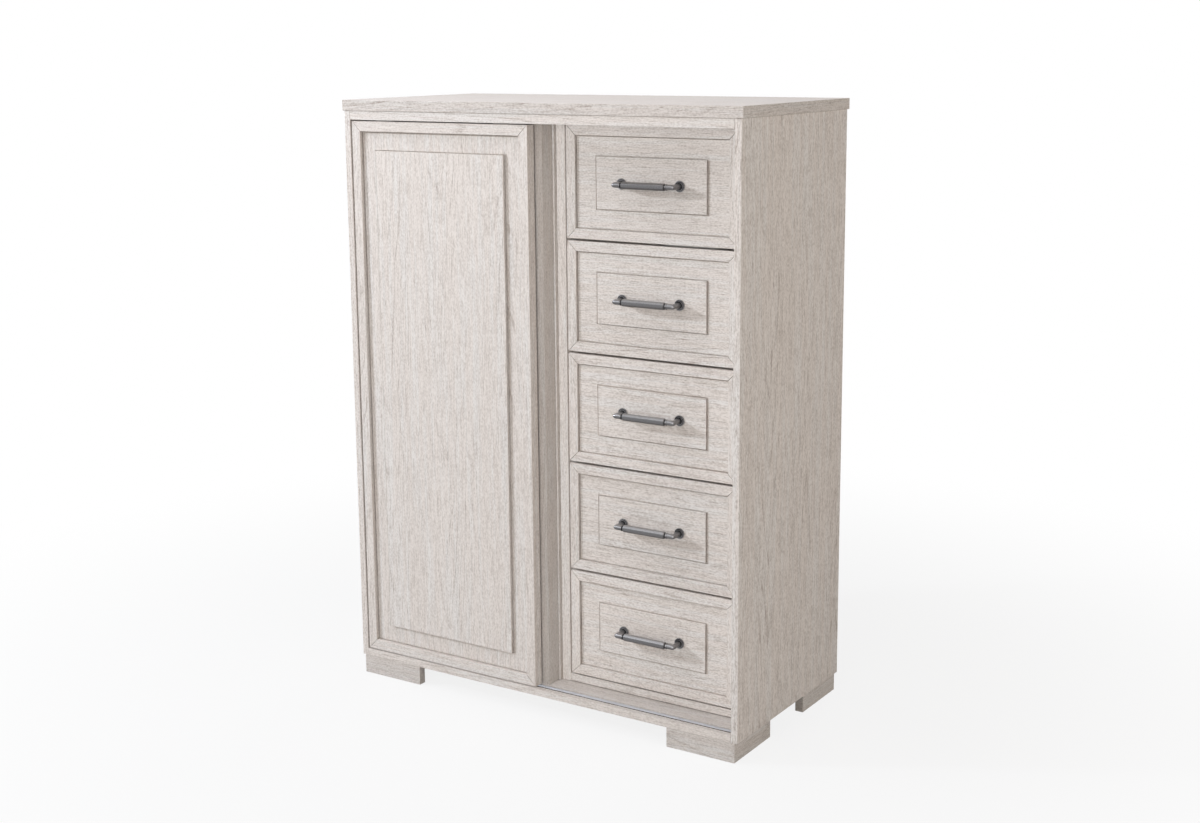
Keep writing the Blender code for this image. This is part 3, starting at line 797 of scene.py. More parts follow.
@dataclass(frozen=True)
class MetalFinish(Finish):
    """A bare or coated metal.

    Args:
        bright: plain colour, where it has no stain, and on the pewter where no patina or painted shade is stored.
        dull: colour in its stains, and on the pewter in its patina and painted shade.
        roughness: mean roughness.
        brushed: how much longer its scratches are along X, 1 for a casting.
        scale: marks to the metre.
        stain: how dark the stains are, from 0 to 1.
        patina_and_shade: whether the piece stores how dark its patina and painted shade are.
        broad: stains for each mark along a line.
    """

    bright: Colour
    dull: Colour
    roughness: float
    brushed: float = 1.0
    scale: float = 900.0
    stain: float = 0.5
    patina_and_shade: bool = False
    broad: float = 0.16

    def _looks(self, bench: NodeBench) -> Looks:
        """Mottle the colour and the roughness, and roughen the surface a little."""
        where = bench.drawn_out(self.brushed)
        fine, broad = (bench.noise(where, self.scale * size, MOTTLE_DETAIL) for size in (1.0, self.broad))
        stain = bench.step(fine * STAIN_FINE + broad * STAIN_BROAD, *STAIN_CUT) * self.stain
        # On the pewter the stored darkness is patina and painted shade in the grooves, and painted shade on faces
        # that don't look up.
        if self.patina_and_shade:
            shade_and_patina = bench.add("ShaderNodeAttribute", attribute_name=PATINA_AND_SHADE).outputs["Fac"]
            stain = bench.calc("MAXIMUM", stain, shade_and_patina)
        colour = bench.mixed(stain, (*self.bright, 1.0), (*self.dull, 1.0))
        rough = fine * METAL_SHEEN + (self.roughness - METAL_SHEEN / 2)
        return {"Base Color": colour, "Roughness": rough, "Metallic": 1.0}, fine, METAL_BUMP


OAK = OakFinish("washed_oak")
TOP_OAK = OAK.toned("washed_oak_top", 1.0, 0.6)
# Oak toned darker for the top's edges: painted shade on the faces that don't look up.
SHADED_BAND_OAK = OAK.toned("washed_oak_edge_band_painted_shade", 0.89, 1.2)
# Oak toned darker for the deck before the drawers: painted shade.
SHADED_DECK_OAK = OAK.toned("washed_oak_deck_painted_shade", 0.83, 1.0)
# Oak toned darker for the partition and the filler: painted shade for the recess beside the door's edge.
SHADED_OAK = OAK.toned("washed_oak_partition_painted_shade", 0.855, 1.0)
SIDE_OAK = OAK.toned("washed_oak_sides", 1.012, 1.35)
# Oak toned darker for the feet: painted shade low down on the chest.
SHADED_FOOT_OAK = OAK.toned("washed_oak_feet_painted_shade", 0.88, 1.2)
INNER_OAK = OAK.toned("washed_oak_inside", 0.96, 0.8)
BEECH = OakFinish("runner_beech", (0.60, 0.47, 0.32), (0.62, 0.50, 0.36), (0.40, 0.28, 0.17), 0.8)
HARDBOARD = FleckFinish("raw_hardboard", (0.36, 0.27, 0.19), (0.22, 0.155, 0.10), 650.0, roughness=0.75, cloud=1.4)
DRAWER_FLOOR = FleckFinish("drawer_floor_paper", (0.60, 0.56, 0.51), (0.50, 0.45, 0.40), 420.0, 5.0, 0.4)
LINING = FleckFinish("drawer_foil", (0.62, 0.575, 0.52), (0.50, 0.45, 0.395), 520.0, 6.0, 0.45, 0.5)
NYLON = FleckFinish("moulded_nylon", (0.70, 0.69, 0.66), (0.60, 0.59, 0.56), 900.0, share=0.2, roughness=0.45)
TRACK = MetalFinish("drawn_aluminium", (0.63, 0.63, 0.65), (0.52, 0.52, 0.54), 0.38, 60.0, 1400.0)
# Near-black aluminium for the track's front face: painted shade for the groove in front of the track.
TRACK_FRONT_SHADE = MetalFinish("aluminium_painted_shade", (0.07, 0.068, 0.066), (0.03, 0.029, 0.028), 0.55, 60.0, 1400.0)
# The pulls store their patina and painted shade, which mix this colour towards the dull one.
PEWTER = MetalFinish("dark_pewter", (0.40, 0.395, 0.405), (0.028, 0.027, 0.029), 0.3, stain=0.2, patina_and_shade=True)
STEEL = MetalFinish("zinc_steel", (0.40, 0.40, 0.395), (0.26, 0.26, 0.255), 0.4)
BOARDS = {
    "top_panel": (Axis.X, TOP_OAK),
    "side_panel_left": (Axis.Z, SIDE_OAK),
    "side_panel_right": (Axis.Z, SIDE_OAK),
    "partition": (Axis.Z, SHADED_OAK),
    "drawer_bay_filler": (Axis.Z, SHADED_OAK),
    "drawer_stile_left": (Axis.Z, OAK),
    "drawer_stile_right": (Axis.Z, OAK),
    "drawer_rail": (Axis.X, OAK),
    "shelf_lower": (Axis.X, INNER_OAK),
    "shelf_upper": (Axis.X, INNER_OAK),
}
TRIMS = {"partition": (0.003, 0.0), "drawer_rail": (0.0, 0.0012)}


@dataclass
class CaseBoards:
    """Top, sides, partition, shelves and face frame as plain boards, and the grooved sub top and bottom panel.

    Args:
        ease: rounding of a plain board's edges.
        groove_ease: rounding of a grooved board's edges.
        guide_groove: half the width and the depth of the groove under the sub top.
        track_fit: gap beside and under the track in its groove.
        boards: the way of the grain and the finish of each plain board.
        trims: how far a board's front edge stays behind its solid's, and its lower edge above it.
    """

    ease: float = 0.0009
    groove_ease: float = 0.00036
    guide_groove: Span = (0.0035, 0.008)
    track_fit: Span = (0.0018, 0.0003)
    boards: dict[str, tuple[Axis, OakFinish]] = field(default_factory=lambda: BOARDS)
    trims: dict[str, Span] = field(default_factory=lambda: TRIMS)

    def build(self) -> None:
        """Build every board of the case."""
        for node, (run, finish) in self.boards.items():
            low, high = spans(node)
            low[1:] += self.trims.get(node, (0.0, 0.0))
            slot = Slot.INNER if finish is INNER_OAK else Slot.OAK
            fit_piece("oak", node, [block(low, high, run)], finish, self.ease, "case", slot)
        top = bpy.data.objects["oak_top_panel"]
        # The top's front and end faces take the darker oak as painted shade.
        for way in (AHEAD, LEFT, RIGHT):
            paint(top, SHADED_BAND_OAK, looking(top, way))
        self._grooved_boards()

    def _grooved_boards(self) -> None:
        """Build the sub top, with a groove over the track's middle, and the bottom panel, which the track lies in."""
        track_low, track_high = spans("door_track")
        middle = (track_low[1] + track_high[1]) / 2
        half, depth = self.guide_groove
        aside, under = self.track_fit
        guide = (middle - half, middle + half, spans("sub_top")[0][2] + depth)
        bed = (track_low[1] - aside, track_high[1] + aside, track_low[2] - under)
        for node, below, above in (("sub_top", [guide], []), ("bottom_panel", [], [bed])):
            x, y, z = zip(*spans(node))
            shell = prism(slotted(y, z, below, above), Axis.X, x, Axis.X)
            board = fit_piece("oak", node, [shell], OAK, self.groove_ease, "case")
        # The bottom panel's upward faces take the darker oak as painted shade.
        paint(board, SHADED_DECK_OAK, looking(board, UP))


@dataclass
class BackPanel:
    """Thin back of raw hardboard, printed on its inside, with the nails that hold it.

    Args:
        nail: head of a nail.
        pitch: distance between nails.
        margin: distance of the outer nails from the panel's edge.
    """

    nail: RoundHead = RoundHead(0.0032, 0.0008, 0.46, 4, 10)
    pitch: float = 0.14
    margin: float = 0.009

    def build(self) -> None:
        """Build the panel and its nails."""
        low, high = spans("back_panel")
        panel = fit_piece("board", "back_panel", [block(low, high, Axis.Z)], HARDBOARD, 0.0, "case", Slot.HARDBOARD)
        paint(panel, INNER_OAK, looking(panel, AHEAD))
        nails = make_piece("back_panel_nails", self._nails(low, high), STEEL)
        smooth_round(nails)
        settle(nails, "case", Slot.TRACK)

    def _nails(self, low: Array, high: Array) -> list[Shell]:
        """Nails round the edge and down the partition."""
        count = 1 + np.round((high - low) / self.pitch).astype(int)
        across, upward = (np.linspace(low[k] + self.margin, high[k] - self.margin, count[k]) for k in (0, 2))
        level = [(x, z) for z in (upward[0], upward[-1]) for x in across]
        upright = [(x, z) for x in (across[0], 0.0, across[-1]) for z in upward[1:-1]]
        return [self.nail.shell((x, high[1], z)) for x, z in level + upright]


@dataclass
class BracketFeet:
    """Four feet, each an L of two boards in plan.

    Args:
        board: thickness of the boards.
        ease: rounding of the edges.
    """

    board: float = 0.0185
    ease: float = 0.0009

    def build(self) -> None:
        """Build the four feet, each with its corner towards the outside of the case."""
        for node in (f"foot_{end}_{side}" for end in ("front", "rear") for side in SIDES):
            low, high = spans(node)
            ahead = (low + high)[:2] < 0
            outer, reach = np.where(ahead, low[:2], high[:2]), np.where(ahead, 1.0, -1.0)
            (wide, deep), thick = (high - low)[:2], self.board
            plan = [(0.0, 0.0), (wide, 0.0), (wide, thick), (thick, thick), (thick, deep), (0.0, deep)]
            shell = prism(outer + reach * np.array(plan), Axis.Z, (low[2], high[2]), Axis.X)
            # The feet take the darker oak as painted shade.
            fit_piece("oak", node, [shell], SHADED_FOOT_OAK, self.ease, "case")


def mitred(low: Sequence[float], high: Sequence[float], width: float, y: Span, gap: float) -> list[Shell]:
    """Four mouldings round a rectangle in X and Z, mitred at the corners.

    Args:
        low: lowest X and Z of the rectangle.
        high: highest X and Z of the rectangle.
        width: width of a moulding.
        y: front and back of the mouldings.
        gap: opening at each mitre, taken from the level mouldings.

    Returns:
        Left, right, bottom and top mouldings.
    """
    (x0, z0), (x1, z1) = low, high
    left = [(x0, z0), (x0 + width, z0 + width), (x0 + width, z1 - width), (x0, z1)]
    right = [(x1, z0), (x1, z1), (x1 - width, z1 - width), (x1 - width, z0 + width)]
    bottom = [(x0 + gap, z0), (x1 - gap, z0), (x1 - width - gap, z0 + width), (x0 + width + gap, z0 + width)]
    top = [(x0 + gap, z1), (x0 + width + gap, z1 - width), (x1 - width - gap, z1 - width), (x1 - gap, z1)]
    runs = ((left, Axis.Z), (right, Axis.Z), (bottom, Axis.X), (top, Axis.X))
    return [prism(outline, Axis.Y, y, run) for outline, run in runs]


@dataclass
class DoorLeaf:
    """The sliding door: its core, mitred frame, raised panel and running gear.

    Args:
        mitre_gap: opening at a mitre.
        groove: width of the groove inside the frame, and depth of both grooves.
        moat: width of the groove round the panel's foot, beside the panel and over and under it.
        seat: gap round the housings and guides in their mortises.
        ease: rounding of the edges.
    """

    mitre_gap: float = 0.0008
    groove: Span = (0.0026, 0.003)
    moat: Span = (0.0058, 0.002)
    seat: float = 0.0002
    ease: float = 0.0005

    def build(self, nodes: dict[str, Piece]) -> None:
        """Build the core, the frame and the panel, and dress the running gear."""
        low, high = spans("door_frame_left")
        width = high[0] - low[0]
        self._core(width)
        corner = spans("door_frame_right")[1]
        frame = mitred(low[[0, 2]], corner[[0, 2]], width, (low[1], high[1]), self.mitre_gap)
        for side, shell in zip((*SIDES, "bottom", "top"), frame):
            fit_piece("oak", f"door_frame_{side}", [shell], OAK, self.ease, "door")
        panel = block(*spans("door_raised_panel"), Axis.Z)
        fit_piece("oak", "door_raised_panel", [panel], OAK, self.ease, "door")
        for name in (f"{part}_{side}" for part in ("roller_housing", "roller", "upper_guide") for side in SIDES):
            nodes[name].data.materials.clear()
            nodes[name].data.materials.append(NYLON.material())
            LOG.info("%s dressed with %s", name, NYLON.name)

    def _core(self, frame: float) -> None:
        """A front layer grooved for a frame of the given width, and a back layer with mortises for the gear."""
        low, high = spans("door_core")
        split = spans("roller_housing_left")[0][1] - self.seat
        front = (low, np.array([high[0], split, high[2]]))
        housings, guides = (
            [self._mortise(spans(f"{part}_{side}"), end) for side in SIDES]
            for part, end in (("roller_housing", 1), ("upper_guide", 0))
        )
        outline = slotted((low[0], high[0]), (low[2], high[2]), housings, guides)
        layers = [
            grooved_slab(front, spans("door_raised_panel"), frame, self.groove, self.moat, Axis.Z),
            prism(outline, Axis.Y, (split, high[1]), Axis.Z),
        ]
        fit_piece("oak", "door_core", layers, OAK, 0.0, "door")

    def _mortise(self, gear: Box, end: int) -> Point:
        """Start and end in X and floor in Z of a mortise, whose floor is at the gear's lower (0) or upper (1) end."""
        return gear[0][0] - self.seat, gear[1][0] + self.seat, gear[end][2] + (2 * end - 1) * self.seat


@dataclass
class DoorTrack:
    """The metal strip that the door's rollers run in.

    Args:
        slot: half the width and the depth of the running slot.
        gap: opening in front of the strip.
        ease: rounding of the edges.
    """

    slot: Span = (0.00335, 0.0018)
    gap: float = 0.0022
    ease: float = 0.0002

    def build(self) -> None:
        """Carry the slotted outline along X, with its front face painted dark as the shade in the groove before it.
        """
        low, high = spans("door_track")
        middle = (low[1] + high[1]) / 2
        half, depth = self.slot
        front = low[1] + self.gap
        slot = (middle - half, middle + half, high[2] - depth)
        outline = slotted((front, high[1]), (low[2], high[2]), above=[slot])
        shell = prism(outline, Axis.X, (low[0], high[0]), Axis.X)
        strip = fit_piece("metal", "door_track", [shell], TRACK, self.ease, "case", Slot.TRACK)
        # Faces in front of the slot take the painted shade colour.
        paint(strip, TRACK_FRONT_SHADE, gathered(strip.data.polygons, "center", 3)[:, 1] < front + self.ease)


@dataclass
class BarPull:
    """A cast bar pull: stepped rosettes, square elbows and an eight-sided sleeve.

    Args:
        centres: distance between the posts.
        standoff: distance of the bar's axis from its seat.
        rod: radius of posts and bar.
        bend: radius inside an elbow.
        elbow_cap: greatest width of an elbow against the rod's, which rounds its outer corner.
        elbow_rings: rings in an elbow.
        sleeve_length: length of the sleeve.
        sleeve_half: half the width across the sleeve's flats.
        corner_cap: reach of the sleeve's rounded corners against its flats.
        sides: points round a ring.
        darkening: how dark the painted shade is on the bar's upright faces, and how dark the rosettes and posts are
            made, from 0 to 1.
        bright: upward lean of a face from which the bar has no painted shade.
        rosette: radius, reach from the seat and darkness of each ring of a rosette, the darkness being patina and
            painted shade in its grooves.
        collar: radius, place from the sleeve's end and darkness of each ring of a collar, the darkness being patina
            and painted shade.
        lip: the same for the rings of the sleeve's end, with the radius less the sleeve's half width.
    """

    centres: float = 0.135
    standoff: float = 0.02775
    rod: float = 0.0054
    bend: float = 0.0008
    elbow_cap: float = 1.28
    elbow_rings: int = 11
    sleeve_length: float = 0.0975
    sleeve_half: float = 0.0073
    corner_cap: float = 1.06
    sides: int = 48
    darkening: Span = (0.66, 0.35)
    bright: float = 0.75
    rosette: tuple[Point, ...] = (
        *((0.0106, 0.0, 0.8), (0.0113, 0.0005, 0.5), (0.0113, 0.0016, 0.2), (0.0109, 0.0021, 0.0)),
        *((0.0098, 0.0021, 0.0), (0.0091, 0.0013, 1.0), (0.0086, 0.0013, 1.0), (0.0083, 0.0024, 0.2)),
        *((0.0079, 0.0029, 0.0), (0.0071, 0.0029, 0.0), (0.0066, 0.0020, 1.0), (0.0060, 0.0020, 1.0)),
        *((0.0054, 0.0026, 0.9), (0.0054, 0.0074, 0.2)),
    )
    collar: tuple[Point, ...] = (
        *((0.0054, -0.0078, 0.0), (0.0054, -0.0060, 0.3), (0.0063, -0.0056, 0.1), (0.0066, -0.0048, 0.0)),
        *((0.0063, -0.0040, 0.1), (0.0052, -0.0036, 0.9), (0.0052, -0.0012, 0.9), (0.0060, -0.0006, 0.7)),
        (0.0063, 0.0, 0.3),
    )
    lip: tuple[Point, ...] = ((-0.0006, 0.0001, 0.2), (0.0, 0.0007, 0.0))

    def shell(self, seat: Sequence[float]) -> tuple[Shell, Array]:
        """Sweep rings of changing radius along the pull's path, from one seat to the other.

        Each ring lies across the path: its point at angle t is the path's point plus w r cos t of the path's side
        and r sin t of up, where w widens the rings of an elbow. On the sleeve r is the distance to the flat of an
        octagon, capped at its rounded corners. On the bar a painted shade thins out from an upright face to one that
        looks up, so that upward faces stay light as under a light from above.

        Args:
            seat: point on the drawer in the middle between the posts.

        Returns:
            The closed shell, and how dark the patina and painted shade are at each of its points.
        """
        place, heading, *rest = self._half()
        mirror = np.array([-1.0, 1.0])
        place = np.concatenate([place, place[::-1] * mirror])
        heading = np.concatenate([heading, heading[::-1] * -mirror])
        radius, shade_and_patina, wide, flat = (np.concatenate([half, half[::-1]])[:, None] for half in rest)
        turn = np.linspace(0, 2 * np.pi, self.sides, endpoint=False)
        facet = np.round(turn / (np.pi / 4)) * (np.pi / 4)
        reach = radius * np.where(flat, np.minimum(1 / np.cos(turn - facet), self.corner_cap), 1.0)
        side = np.stack([heading[:, 1], -heading[:, 0]], axis=-1)
        rings = np.empty((len(place), self.sides, 3))
        rings[:, :, :2] = place[:, None, :] + (wide * reach * np.cos(turn))[:, :, None] * side[:, None, :]
        rings[:, :, 2] = reach * np.sin(turn)
        lean = np.where(flat, np.sin(facet), np.sin(turn))
        level = np.abs(heading[:, :1])
        # Painted shade: the bar's upright and lower faces are darkened and its upward faces kept light, as under a
        # light from above; rosettes and posts are darkened evenly.
        face_darkness = level * self.darkening[0] * (1 - np.clip(lean / self.bright, 0, 1)) + (1 - level) * self.darkening[1]
        return lofted(rings + np.asarray(seat)), (face_darkness + (1 - face_darkness) * shade_and_patina).ravel()

    def _half(self) -> tuple[Array, ...]:
        """The path from the left seat to the sleeve's left end.

        The rings of the elbow turn about its inner corner and reach to the sides of a square, capped at its corner.

        Returns:
            Place and heading in X and Y, radius, darkness of patina and painted shade, width against the radius, and
            whether the ring is eight-sided.
        """
        start, end = -self.centres / 2, -self.sleeve_length / 2
        rose, lip = np.array(self.rosette), np.array(self.lip) + (self.sleeve_half, 0.0, 0.0)
        neck = np.concatenate([self.collar, lip])
        bent = np.linspace(0, np.pi / 2, self.elbow_rings)
        square = np.minimum(1 / np.maximum(np.cos(bent), np.sin(bent)), self.elbow_cap)
        pivot, reach = self.rod + self.bend, self.rod * square + self.bend
        elbow_x = start + pivot - reach * np.cos(bent)
        elbow_y = -self.standoff + pivot - reach * np.sin(bent)
        parts = (
            (start, -rose[:, 1], 0.0, rose[:, 0], rose[:, 2], 1.0),
            (elbow_x, elbow_y, bent, self.rod, 0.0, square),
            (end + neck[:, 1], -self.standoff, np.pi / 2, neck[:, 0], neck[:, 2], 1.0),
        )
        rings = np.concatenate([np.stack(np.broadcast_arrays(*part)) for part in parts], axis=1)
        x, y, aim, radius, shade_and_patina, wide = rings
        heading = np.stack([np.sin(aim), -np.cos(aim)], axis=-1)
        flat = np.arange(len(x)) >= len(x) - len(lip)
        return np.stack([x, y], axis=-1), heading, radius, shade_and_patina, wide, flat


@dataclass
class DrawerBank:
    """The five drawers: framed fronts, pulls and boxes.

    Args:
        frame_width: width of the mouldings on a front.
        frame_proud: how far they stand out of the field.
        panel_inset: distance of the raised panel from the front's edges in X, Y and Z.
        panel_raise: how far the panel stands out of the field.
        groove: width of the groove inside the frame, and depth of both grooves.
        moat: width of the groove round the panel's foot, beside the panel and over and under it.
        reveal: how far the upper edge of a front under another is cut back.
        glue_line: gap between a moulding and the core.
        mitre_gap: opening at a mitre.
        ease: rounding of the edges.
        floor_ease: rounding of a bottom's edges.
        box_board: thickness of a box's boards.
        joint_gap: gap where a box's back meets its sides.
        groove_fit: gap round the runners and the bottom in their grooves.
        painted_light_tones: how light the laminate of each front is, from the top one down, set to even out how
            differently the lamps light the fronts: painted light and shade.
        grain_depth: strength of their grain.
        pull: the pull on each front.
        screw: head of a pull's screw.
    """

    frame_width: float = 0.021
    frame_proud: float = 0.005
    panel_inset: Point = (0.072, 0.0, 0.063)
    panel_raise: float = 0.0035
    groove: Span = (0.002, 0.003)
    moat: Span = (0.0036, 0.002)
    reveal: float = 0.0013
    glue_line: float = 0.0001
    mitre_gap: float = 0.0008
    ease: float = 0.0005
    floor_ease: float = 0.0004
    box_board: float = 0.014
    joint_gap: float = 0.0002
    groove_fit: float = 0.0004
    # Each front is lightened or darkened as painted light, to even out the lamps' fall-off over the bank.
    painted_light_tones: tuple[float, ...] = (0.985, 1.005, 1.015, 0.995, 1.05)
    grain_depth: float = 1.2
    pull: BarPull = field(default_factory=BarPull)
    screw: RoundHead = RoundHead(0.0048, 0.0024, 0.47, 6, 20)

    def build(self) -> None:
        """Build the drawers and the runners that carry them."""
        for body, tone in zip(DRAWERS, self.painted_light_tones):
            self._front(body, tone)
            self._pull(body)
            self._screws(body)
            self._box(body)
            for node in (f"{body}_runner_{side}" for side in SIDES):
                batten = [block(*spans(node), Axis.Y)]
                fit_piece("beech", node, batten, BEECH, self.ease, "case", Slot.TIMBER)

    def _front(self, body: str, tone: float) -> None:
        """Core, mitred frame and raised panel of one front."""
        low, high = spans(f"{body}_front")
        high[2] -= self.reveal * (body != DRAWERS[0])
        field_y = low[1] + self.frame_proud
        foot_y = field_y - self.glue_line
        frame = mitred(low[[0, 2]], high[[0, 2]], self.frame_width, (low[1], foot_y), self.mitre_gap)
        panel_low, panel_high = low + self.panel_inset, high - self.panel_inset
        panel_low[1], panel_high[1] = field_y - self.panel_raise, foot_y
        panel = block(panel_low, panel_high, Axis.X)
        slab = (np.array([low[0], field_y, low[2]]), high)
        core = grooved_slab(slab, (panel_low, panel_high), self.frame_width, self.groove, self.moat, Axis.X)
        laminate = OAK.toned(f"washed_oak_{body}", tone, self.grain_depth)
        fit_piece("oak", f"{body}_front", [core, *frame, panel], laminate, self.ease, body)

    def _pull(self, body: str) -> None:
        """The bar pull in the middle of a front's panel."""
        node = f"{body}_pull"
        low, high = spans(node)
        shell, patina_and_shade = self.pull.shell(((low[0] + high[0]) / 2, high[1], (low[2] + high[2]) / 2))
        piece = make_piece(f"cast_{node}", [shell], PEWTER)
        # Store the patina and painted shade of each point.
        piece.data.attributes.new(PATINA_AND_SHADE, "FLOAT", "POINT").data.foreach_set("value", patina_and_shade)
        smooth_round(piece)
        settle(piece, body, Slot.PEWTER, node)

    def _screws(self, body: str) -> None:
        """Round heads behind a front, where the screws of its pull go through."""
        low, high = spans(f"{body}_front")
        x, _, z = (low + high) / 2
        half = self.pull.centres / 2
        heads = [self.screw.shell((x + aside, high[1], z)) for aside in (-half, half)]
        piece = make_piece(f"steel_{body}_screws", heads, STEEL)
        smooth_round(piece)
        settle(piece, body, Slot.TRACK)

    def _box(self, body: str) -> None:
        """Two sides grooved for runner and bottom, a back between them, and the bottom in their grooves."""
        low, high = spans(f"{body}_box")
        floor, runner = spans(f"{body}_bottom"), spans(f"{body}_runner_left")
        board, fit = self.box_board, self.groove_fit
        floor_z, runner_z = ((part[0][2] - fit, part[1][2] + fit) for part in (floor, runner))
        housed = floor[1][0] + fit - (high[0] - board)
        depth = runner[1][0] + fit - low[0]
        x, y, z = zip(low, high)
        shells = []
        for outer, inward in zip(x, (1.0, -1.0)):
            inner = outer + inward * board
            outside, inside = (*runner_z, outer + inward * depth), (*floor_z, inner - inward * housed)
            side = slotted(z, (outer, inner), [outside], [inside])
            shells.append(prism(np.fliplr(side), Axis.Y, y, Axis.Y))
        front, inset = high[1] - board, board + self.joint_gap
        back = slotted(z, (front, high[1]), [(*floor_z, front + housed)])
        shells.append(prism(np.fliplr(back), Axis.X, (low[0] + inset, high[0] - inset), Axis.X))
        fit_piece("lined", f"{body}_box", shells, LINING, self.ease, body, Slot.LINING)
        sheet = [block(*floor, Axis.X)]
        fit_piece("board", f"{body}_bottom", sheet, DRAWER_FLOOR, self.floor_ease, body, Slot.HARDBOARD)


@dataclass(frozen=True)
class SoftLight:
    """A square studio lamp.

    Args:
        name: name of the lamp.
        place: where it hangs.
        aim: point that it faces.
        size: length of its side.
        power: watts.
        colour: tint of its light.
        mirrored: whether metal shows the lamp itself.
    """

    name: str
    place: Point
    aim: Point
    size: float
    power: float
    colour: Colour
    mirrored: bool = True

    def build(self) -> None:
        """Hang the lamp and turn it to its aim."""
        lamp = bpy.data.lights.new(self.name, "AREA")
        lamp.size = self.size
        lamp.energy = self.power
        lamp.color = self.colour
        made = bpy.data.objects.new(self.name, lamp)
        made.visible_glossy = self.mirrored
        made.location = self.place
        made.rotation_euler = (Vector(self.aim) - Vector(self.place)).to_track_quat("-Z", "Y").to_euler()
        bpy.context.scene.collection.objects.link(made)


KEY = SoftLight("left_key", (-3.4, -2.4, 2.4), (0.2, -0.15, 0.75), 0.35, 126.0, (0.872, 0.928, 1.0))
BAY_KEY = replace(KEY, name="left_key_on_bay")


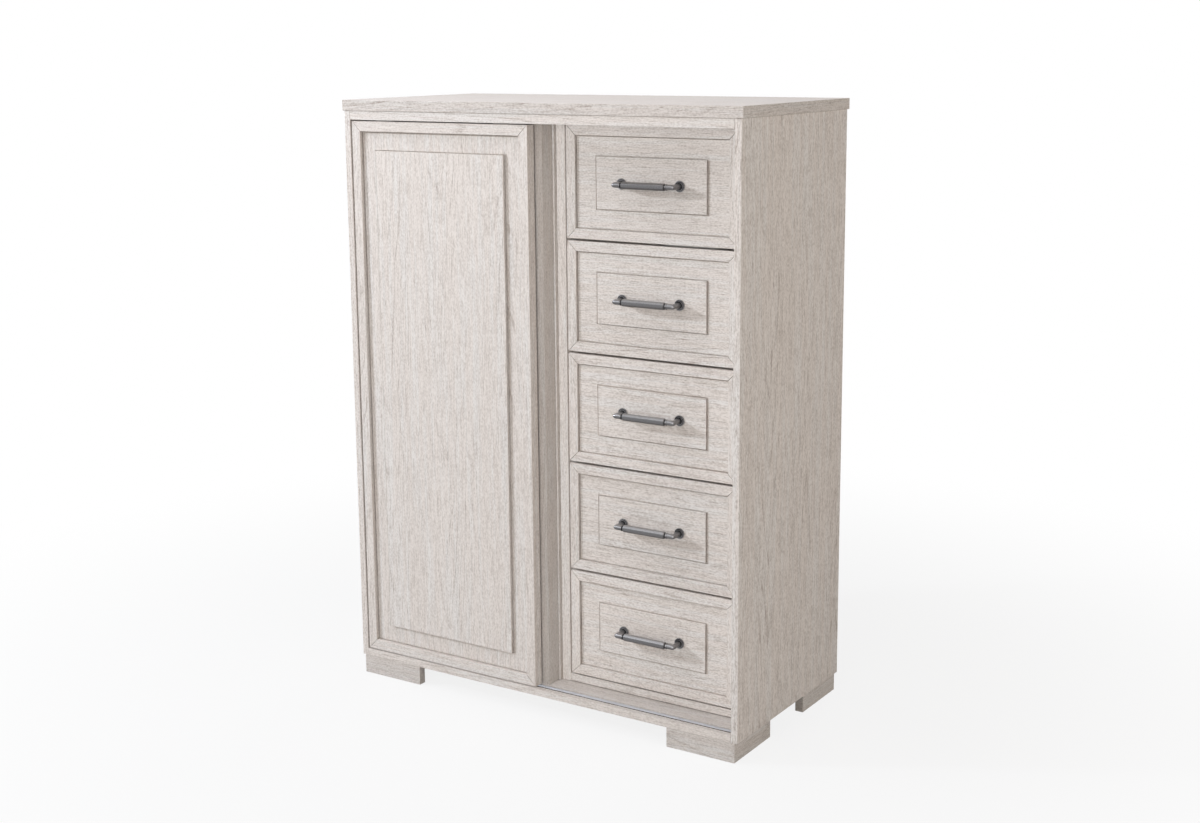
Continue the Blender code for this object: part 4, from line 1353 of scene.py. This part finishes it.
@dataclass
class Studio:
    """White sweep, soft lamps and the camera at the photograph's angle.

    Args:
        lamps: the lamps.
        ambient: colour of the light from all round.
        ambient_strength: its strength.
        floor_half: half the side of the floor.
        floor_drop: how far the floor lies under the feet.
        floor_shade: lightness of the floor.
        floor_glow: share of plain white in the floor that the camera sees under the chest.
        glow_reach: distance from the middle at which the floor starts to turn all white, and is white.
        camera_place: where the camera stands.
        turns: turn of the camera round Z, its tilt, and its turn round its own line of sight, in degrees.
        lens: focal length, in millimetres.
        sensor: width of the camera's sensor, in millimetres.
        shift_y: rise of the frame, as a share of its width.
    """

    lamps: tuple[SoftLight, ...] = (
        SoftLight("front_softbox", (0.9, -4.5, 1.5), (0.0, 0.0, 0.7), 2.6, 81.8, (1.0, 0.969, 0.931)),
        SoftLight("overhead_softbox", (-0.5, -0.8, 3.4), (0.0, 0.0, 1.0), 2.6, 65.9, (0.957, 0.957, 1.0), False),
        SoftLight("right_fill", (3.4, -0.4, 1.5), (0.0, 0.0, 0.7), 2.2, 52.0, (1.0, 0.945, 0.885)),
        KEY,
        BAY_KEY,
        SoftLight("rear_fill", (-0.4, 4.4, 0.9), (0.0, 0.0, 0.65), 1.6, 70.0, (1.0, 0.98, 0.95)),
        SoftLight("left_fill", (-4.2, 0.4, 0.9), (0.0, 0.0, 0.65), 1.6, 50.0, (1.0, 0.98, 0.95)),
    )
    ambient: Colour = (1.0, 0.97, 0.94)
    ambient_strength: float = 0.02
    floor_half: float = 14.0
    floor_drop: float = 0.0005
    floor_shade: float = 0.55
    floor_glow: float = 0.85
    glow_reach: Span = (0.7, 2.2)
    camera_place: Point = (1.9832, -3.0327, 1.4199)
    turns: Point = (32.95, -10.595, -0.467)
    lens: float = 50.718
    sensor: float = 36.0
    shift_y: float = -0.045

    def build(self) -> None:
        """Build the floor, the surroundings, the lamps and the camera."""
        bpy.context.scene.view_settings.view_transform = "Standard"
        self._floor()
        self._surroundings()
        for lamp in self.lamps:
            lamp.build()
        self._camera()

    def share_key(self) -> None:
        """Light the drawer bay by a twin of the key that passes the door and the case's front edges.

        The door and the partition stand so far before the drawers that the key would leave half of them in shade.
        """
        pieces = bpy.data.objects
        bay, passed = ([piece for piece in pieces if piece.name.startswith(starts)] for starts in (BAY, KEY_PASSES))
        self._link(KEY, "receiver_collection", bay, "EXCLUDE")
        self._link(BAY_KEY, "receiver_collection", bay, "INCLUDE")
        self._link(BAY_KEY, "blocker_collection", passed, "EXCLUDE")

    @staticmethod
    def _link(lamp: SoftLight, part: str, pieces: Sequence[Piece], state: str) -> None:
        """Limit what a lamp lights, or what throws a shadow in its light.

        Args:
            lamp: the lamp.
            part: receiver_collection for what it lights, blocker_collection for what throws a shadow.
            pieces: the pieces that are taken in or left out.
            state: INCLUDE or EXCLUDE.
        """
        group = bpy.data.collections.new(f"{lamp.name}_{part}")
        for piece in pieces:
            group.objects.link(piece)
        for item in group.collection_objects:
            item.light_linking.link_state = state
        setattr(bpy.data.objects[lamp.name].light_linking, part, group)

    def _floor(self) -> None:
        """A pale floor that shows nearly white to the camera and keeps the chest's shadow."""
        half = self.floor_half
        mesh = bpy.data.meshes.new("studio_floor")
        mesh.from_pydata([(-half, -half, 0), (half, -half, 0), (half, half, 0), (-half, half, 0)], [], [(0, 1, 2, 3)])
        floor = bpy.data.objects.new("studio_floor", mesh)
        floor.location.z = -self.floor_drop
        bpy.context.scene.collection.objects.link(floor)
        made, bench, shader = new_surface("studio_white")
        bench.made(shader, 0, Base_Color=(*3 * (self.floor_shade,), 1.0), Roughness=1.0, Specular_IOR_Level=0.0)
        camera, mirrored = bench.rays()
        reach = bench.add("ShaderNodeVectorMath", operation="LENGTH")
        bench.feed(reach.inputs[0], bench.add("ShaderNodeTexCoord").outputs["Object"])
        glow = bench.step(reach.outputs["Value"], *self.glow_reach) * (1.0 - self.floor_glow) + self.floor_glow
        share = bench.calc("MAXIMUM", camera * glow, mirrored)
        out = next(node for node in made.node_tree.nodes if node.type == "OUTPUT_MATERIAL")
        bench.feed(out.inputs["Surface"], bench.blended(share, shader, bench.add("ShaderNodeEmission")))
        mesh.materials.append(made)

    def _surroundings(self) -> None:
        """White to the camera and in mirrors, and an even soft light on everything else."""
        world = bpy.data.worlds.new("studio_world")
        world.use_nodes = True
        bpy.context.scene.world = world
        world.node_tree.nodes.clear()
        bench = NodeBench(world.node_tree)
        light, white = (bench.add("ShaderNodeBackground") for _ in range(2))
        bench.row(light, (*self.ambient, 1.0), self.ambient_strength)
        bench.row(white, (1.0, 1.0, 1.0, 1.0))
        seen = bench.blended(bench.calc("MAXIMUM", *bench.rays()), light, white)
        bench.feed(bench.add("ShaderNodeOutputWorld").inputs["Surface"], seen)

    def _camera(self) -> None:
        """Stand the camera where the photograph was taken from."""
        data = bpy.data.cameras.new("photo_camera")
        data.lens = self.lens
        data.sensor_width = self.sensor
        data.shift_y = self.shift_y
        camera = bpy.data.objects.new("photo_camera", data)
        angles = np.radians(self.turns) + (0.0, math.pi / 2, 0.0)
        around, tilt, roll = (Matrix.Rotation(angle, 4, axis) for angle, axis in zip(angles, "ZXZ"))
        camera.matrix_world = Matrix.Translation(self.camera_place) @ around @ tilt @ roll
        bpy.context.scene.collection.objects.link(camera)
        bpy.context.scene.camera = camera


def main() -> None:
    """Load the frame, build the chest piece by piece and set the studio round it."""
    logging.basicConfig(level=logging.INFO, format="%(message)s")
    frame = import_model()
    studio = Studio()
    studio.build()
    CaseBoards().build()
    BackPanel().build()
    BracketFeet().build()
    DoorTrack().build()
    DoorLeaf().build(frame["nodes"])
    DrawerBank().build()
    studio.share_key()


if __name__ == "__main__":
    main()
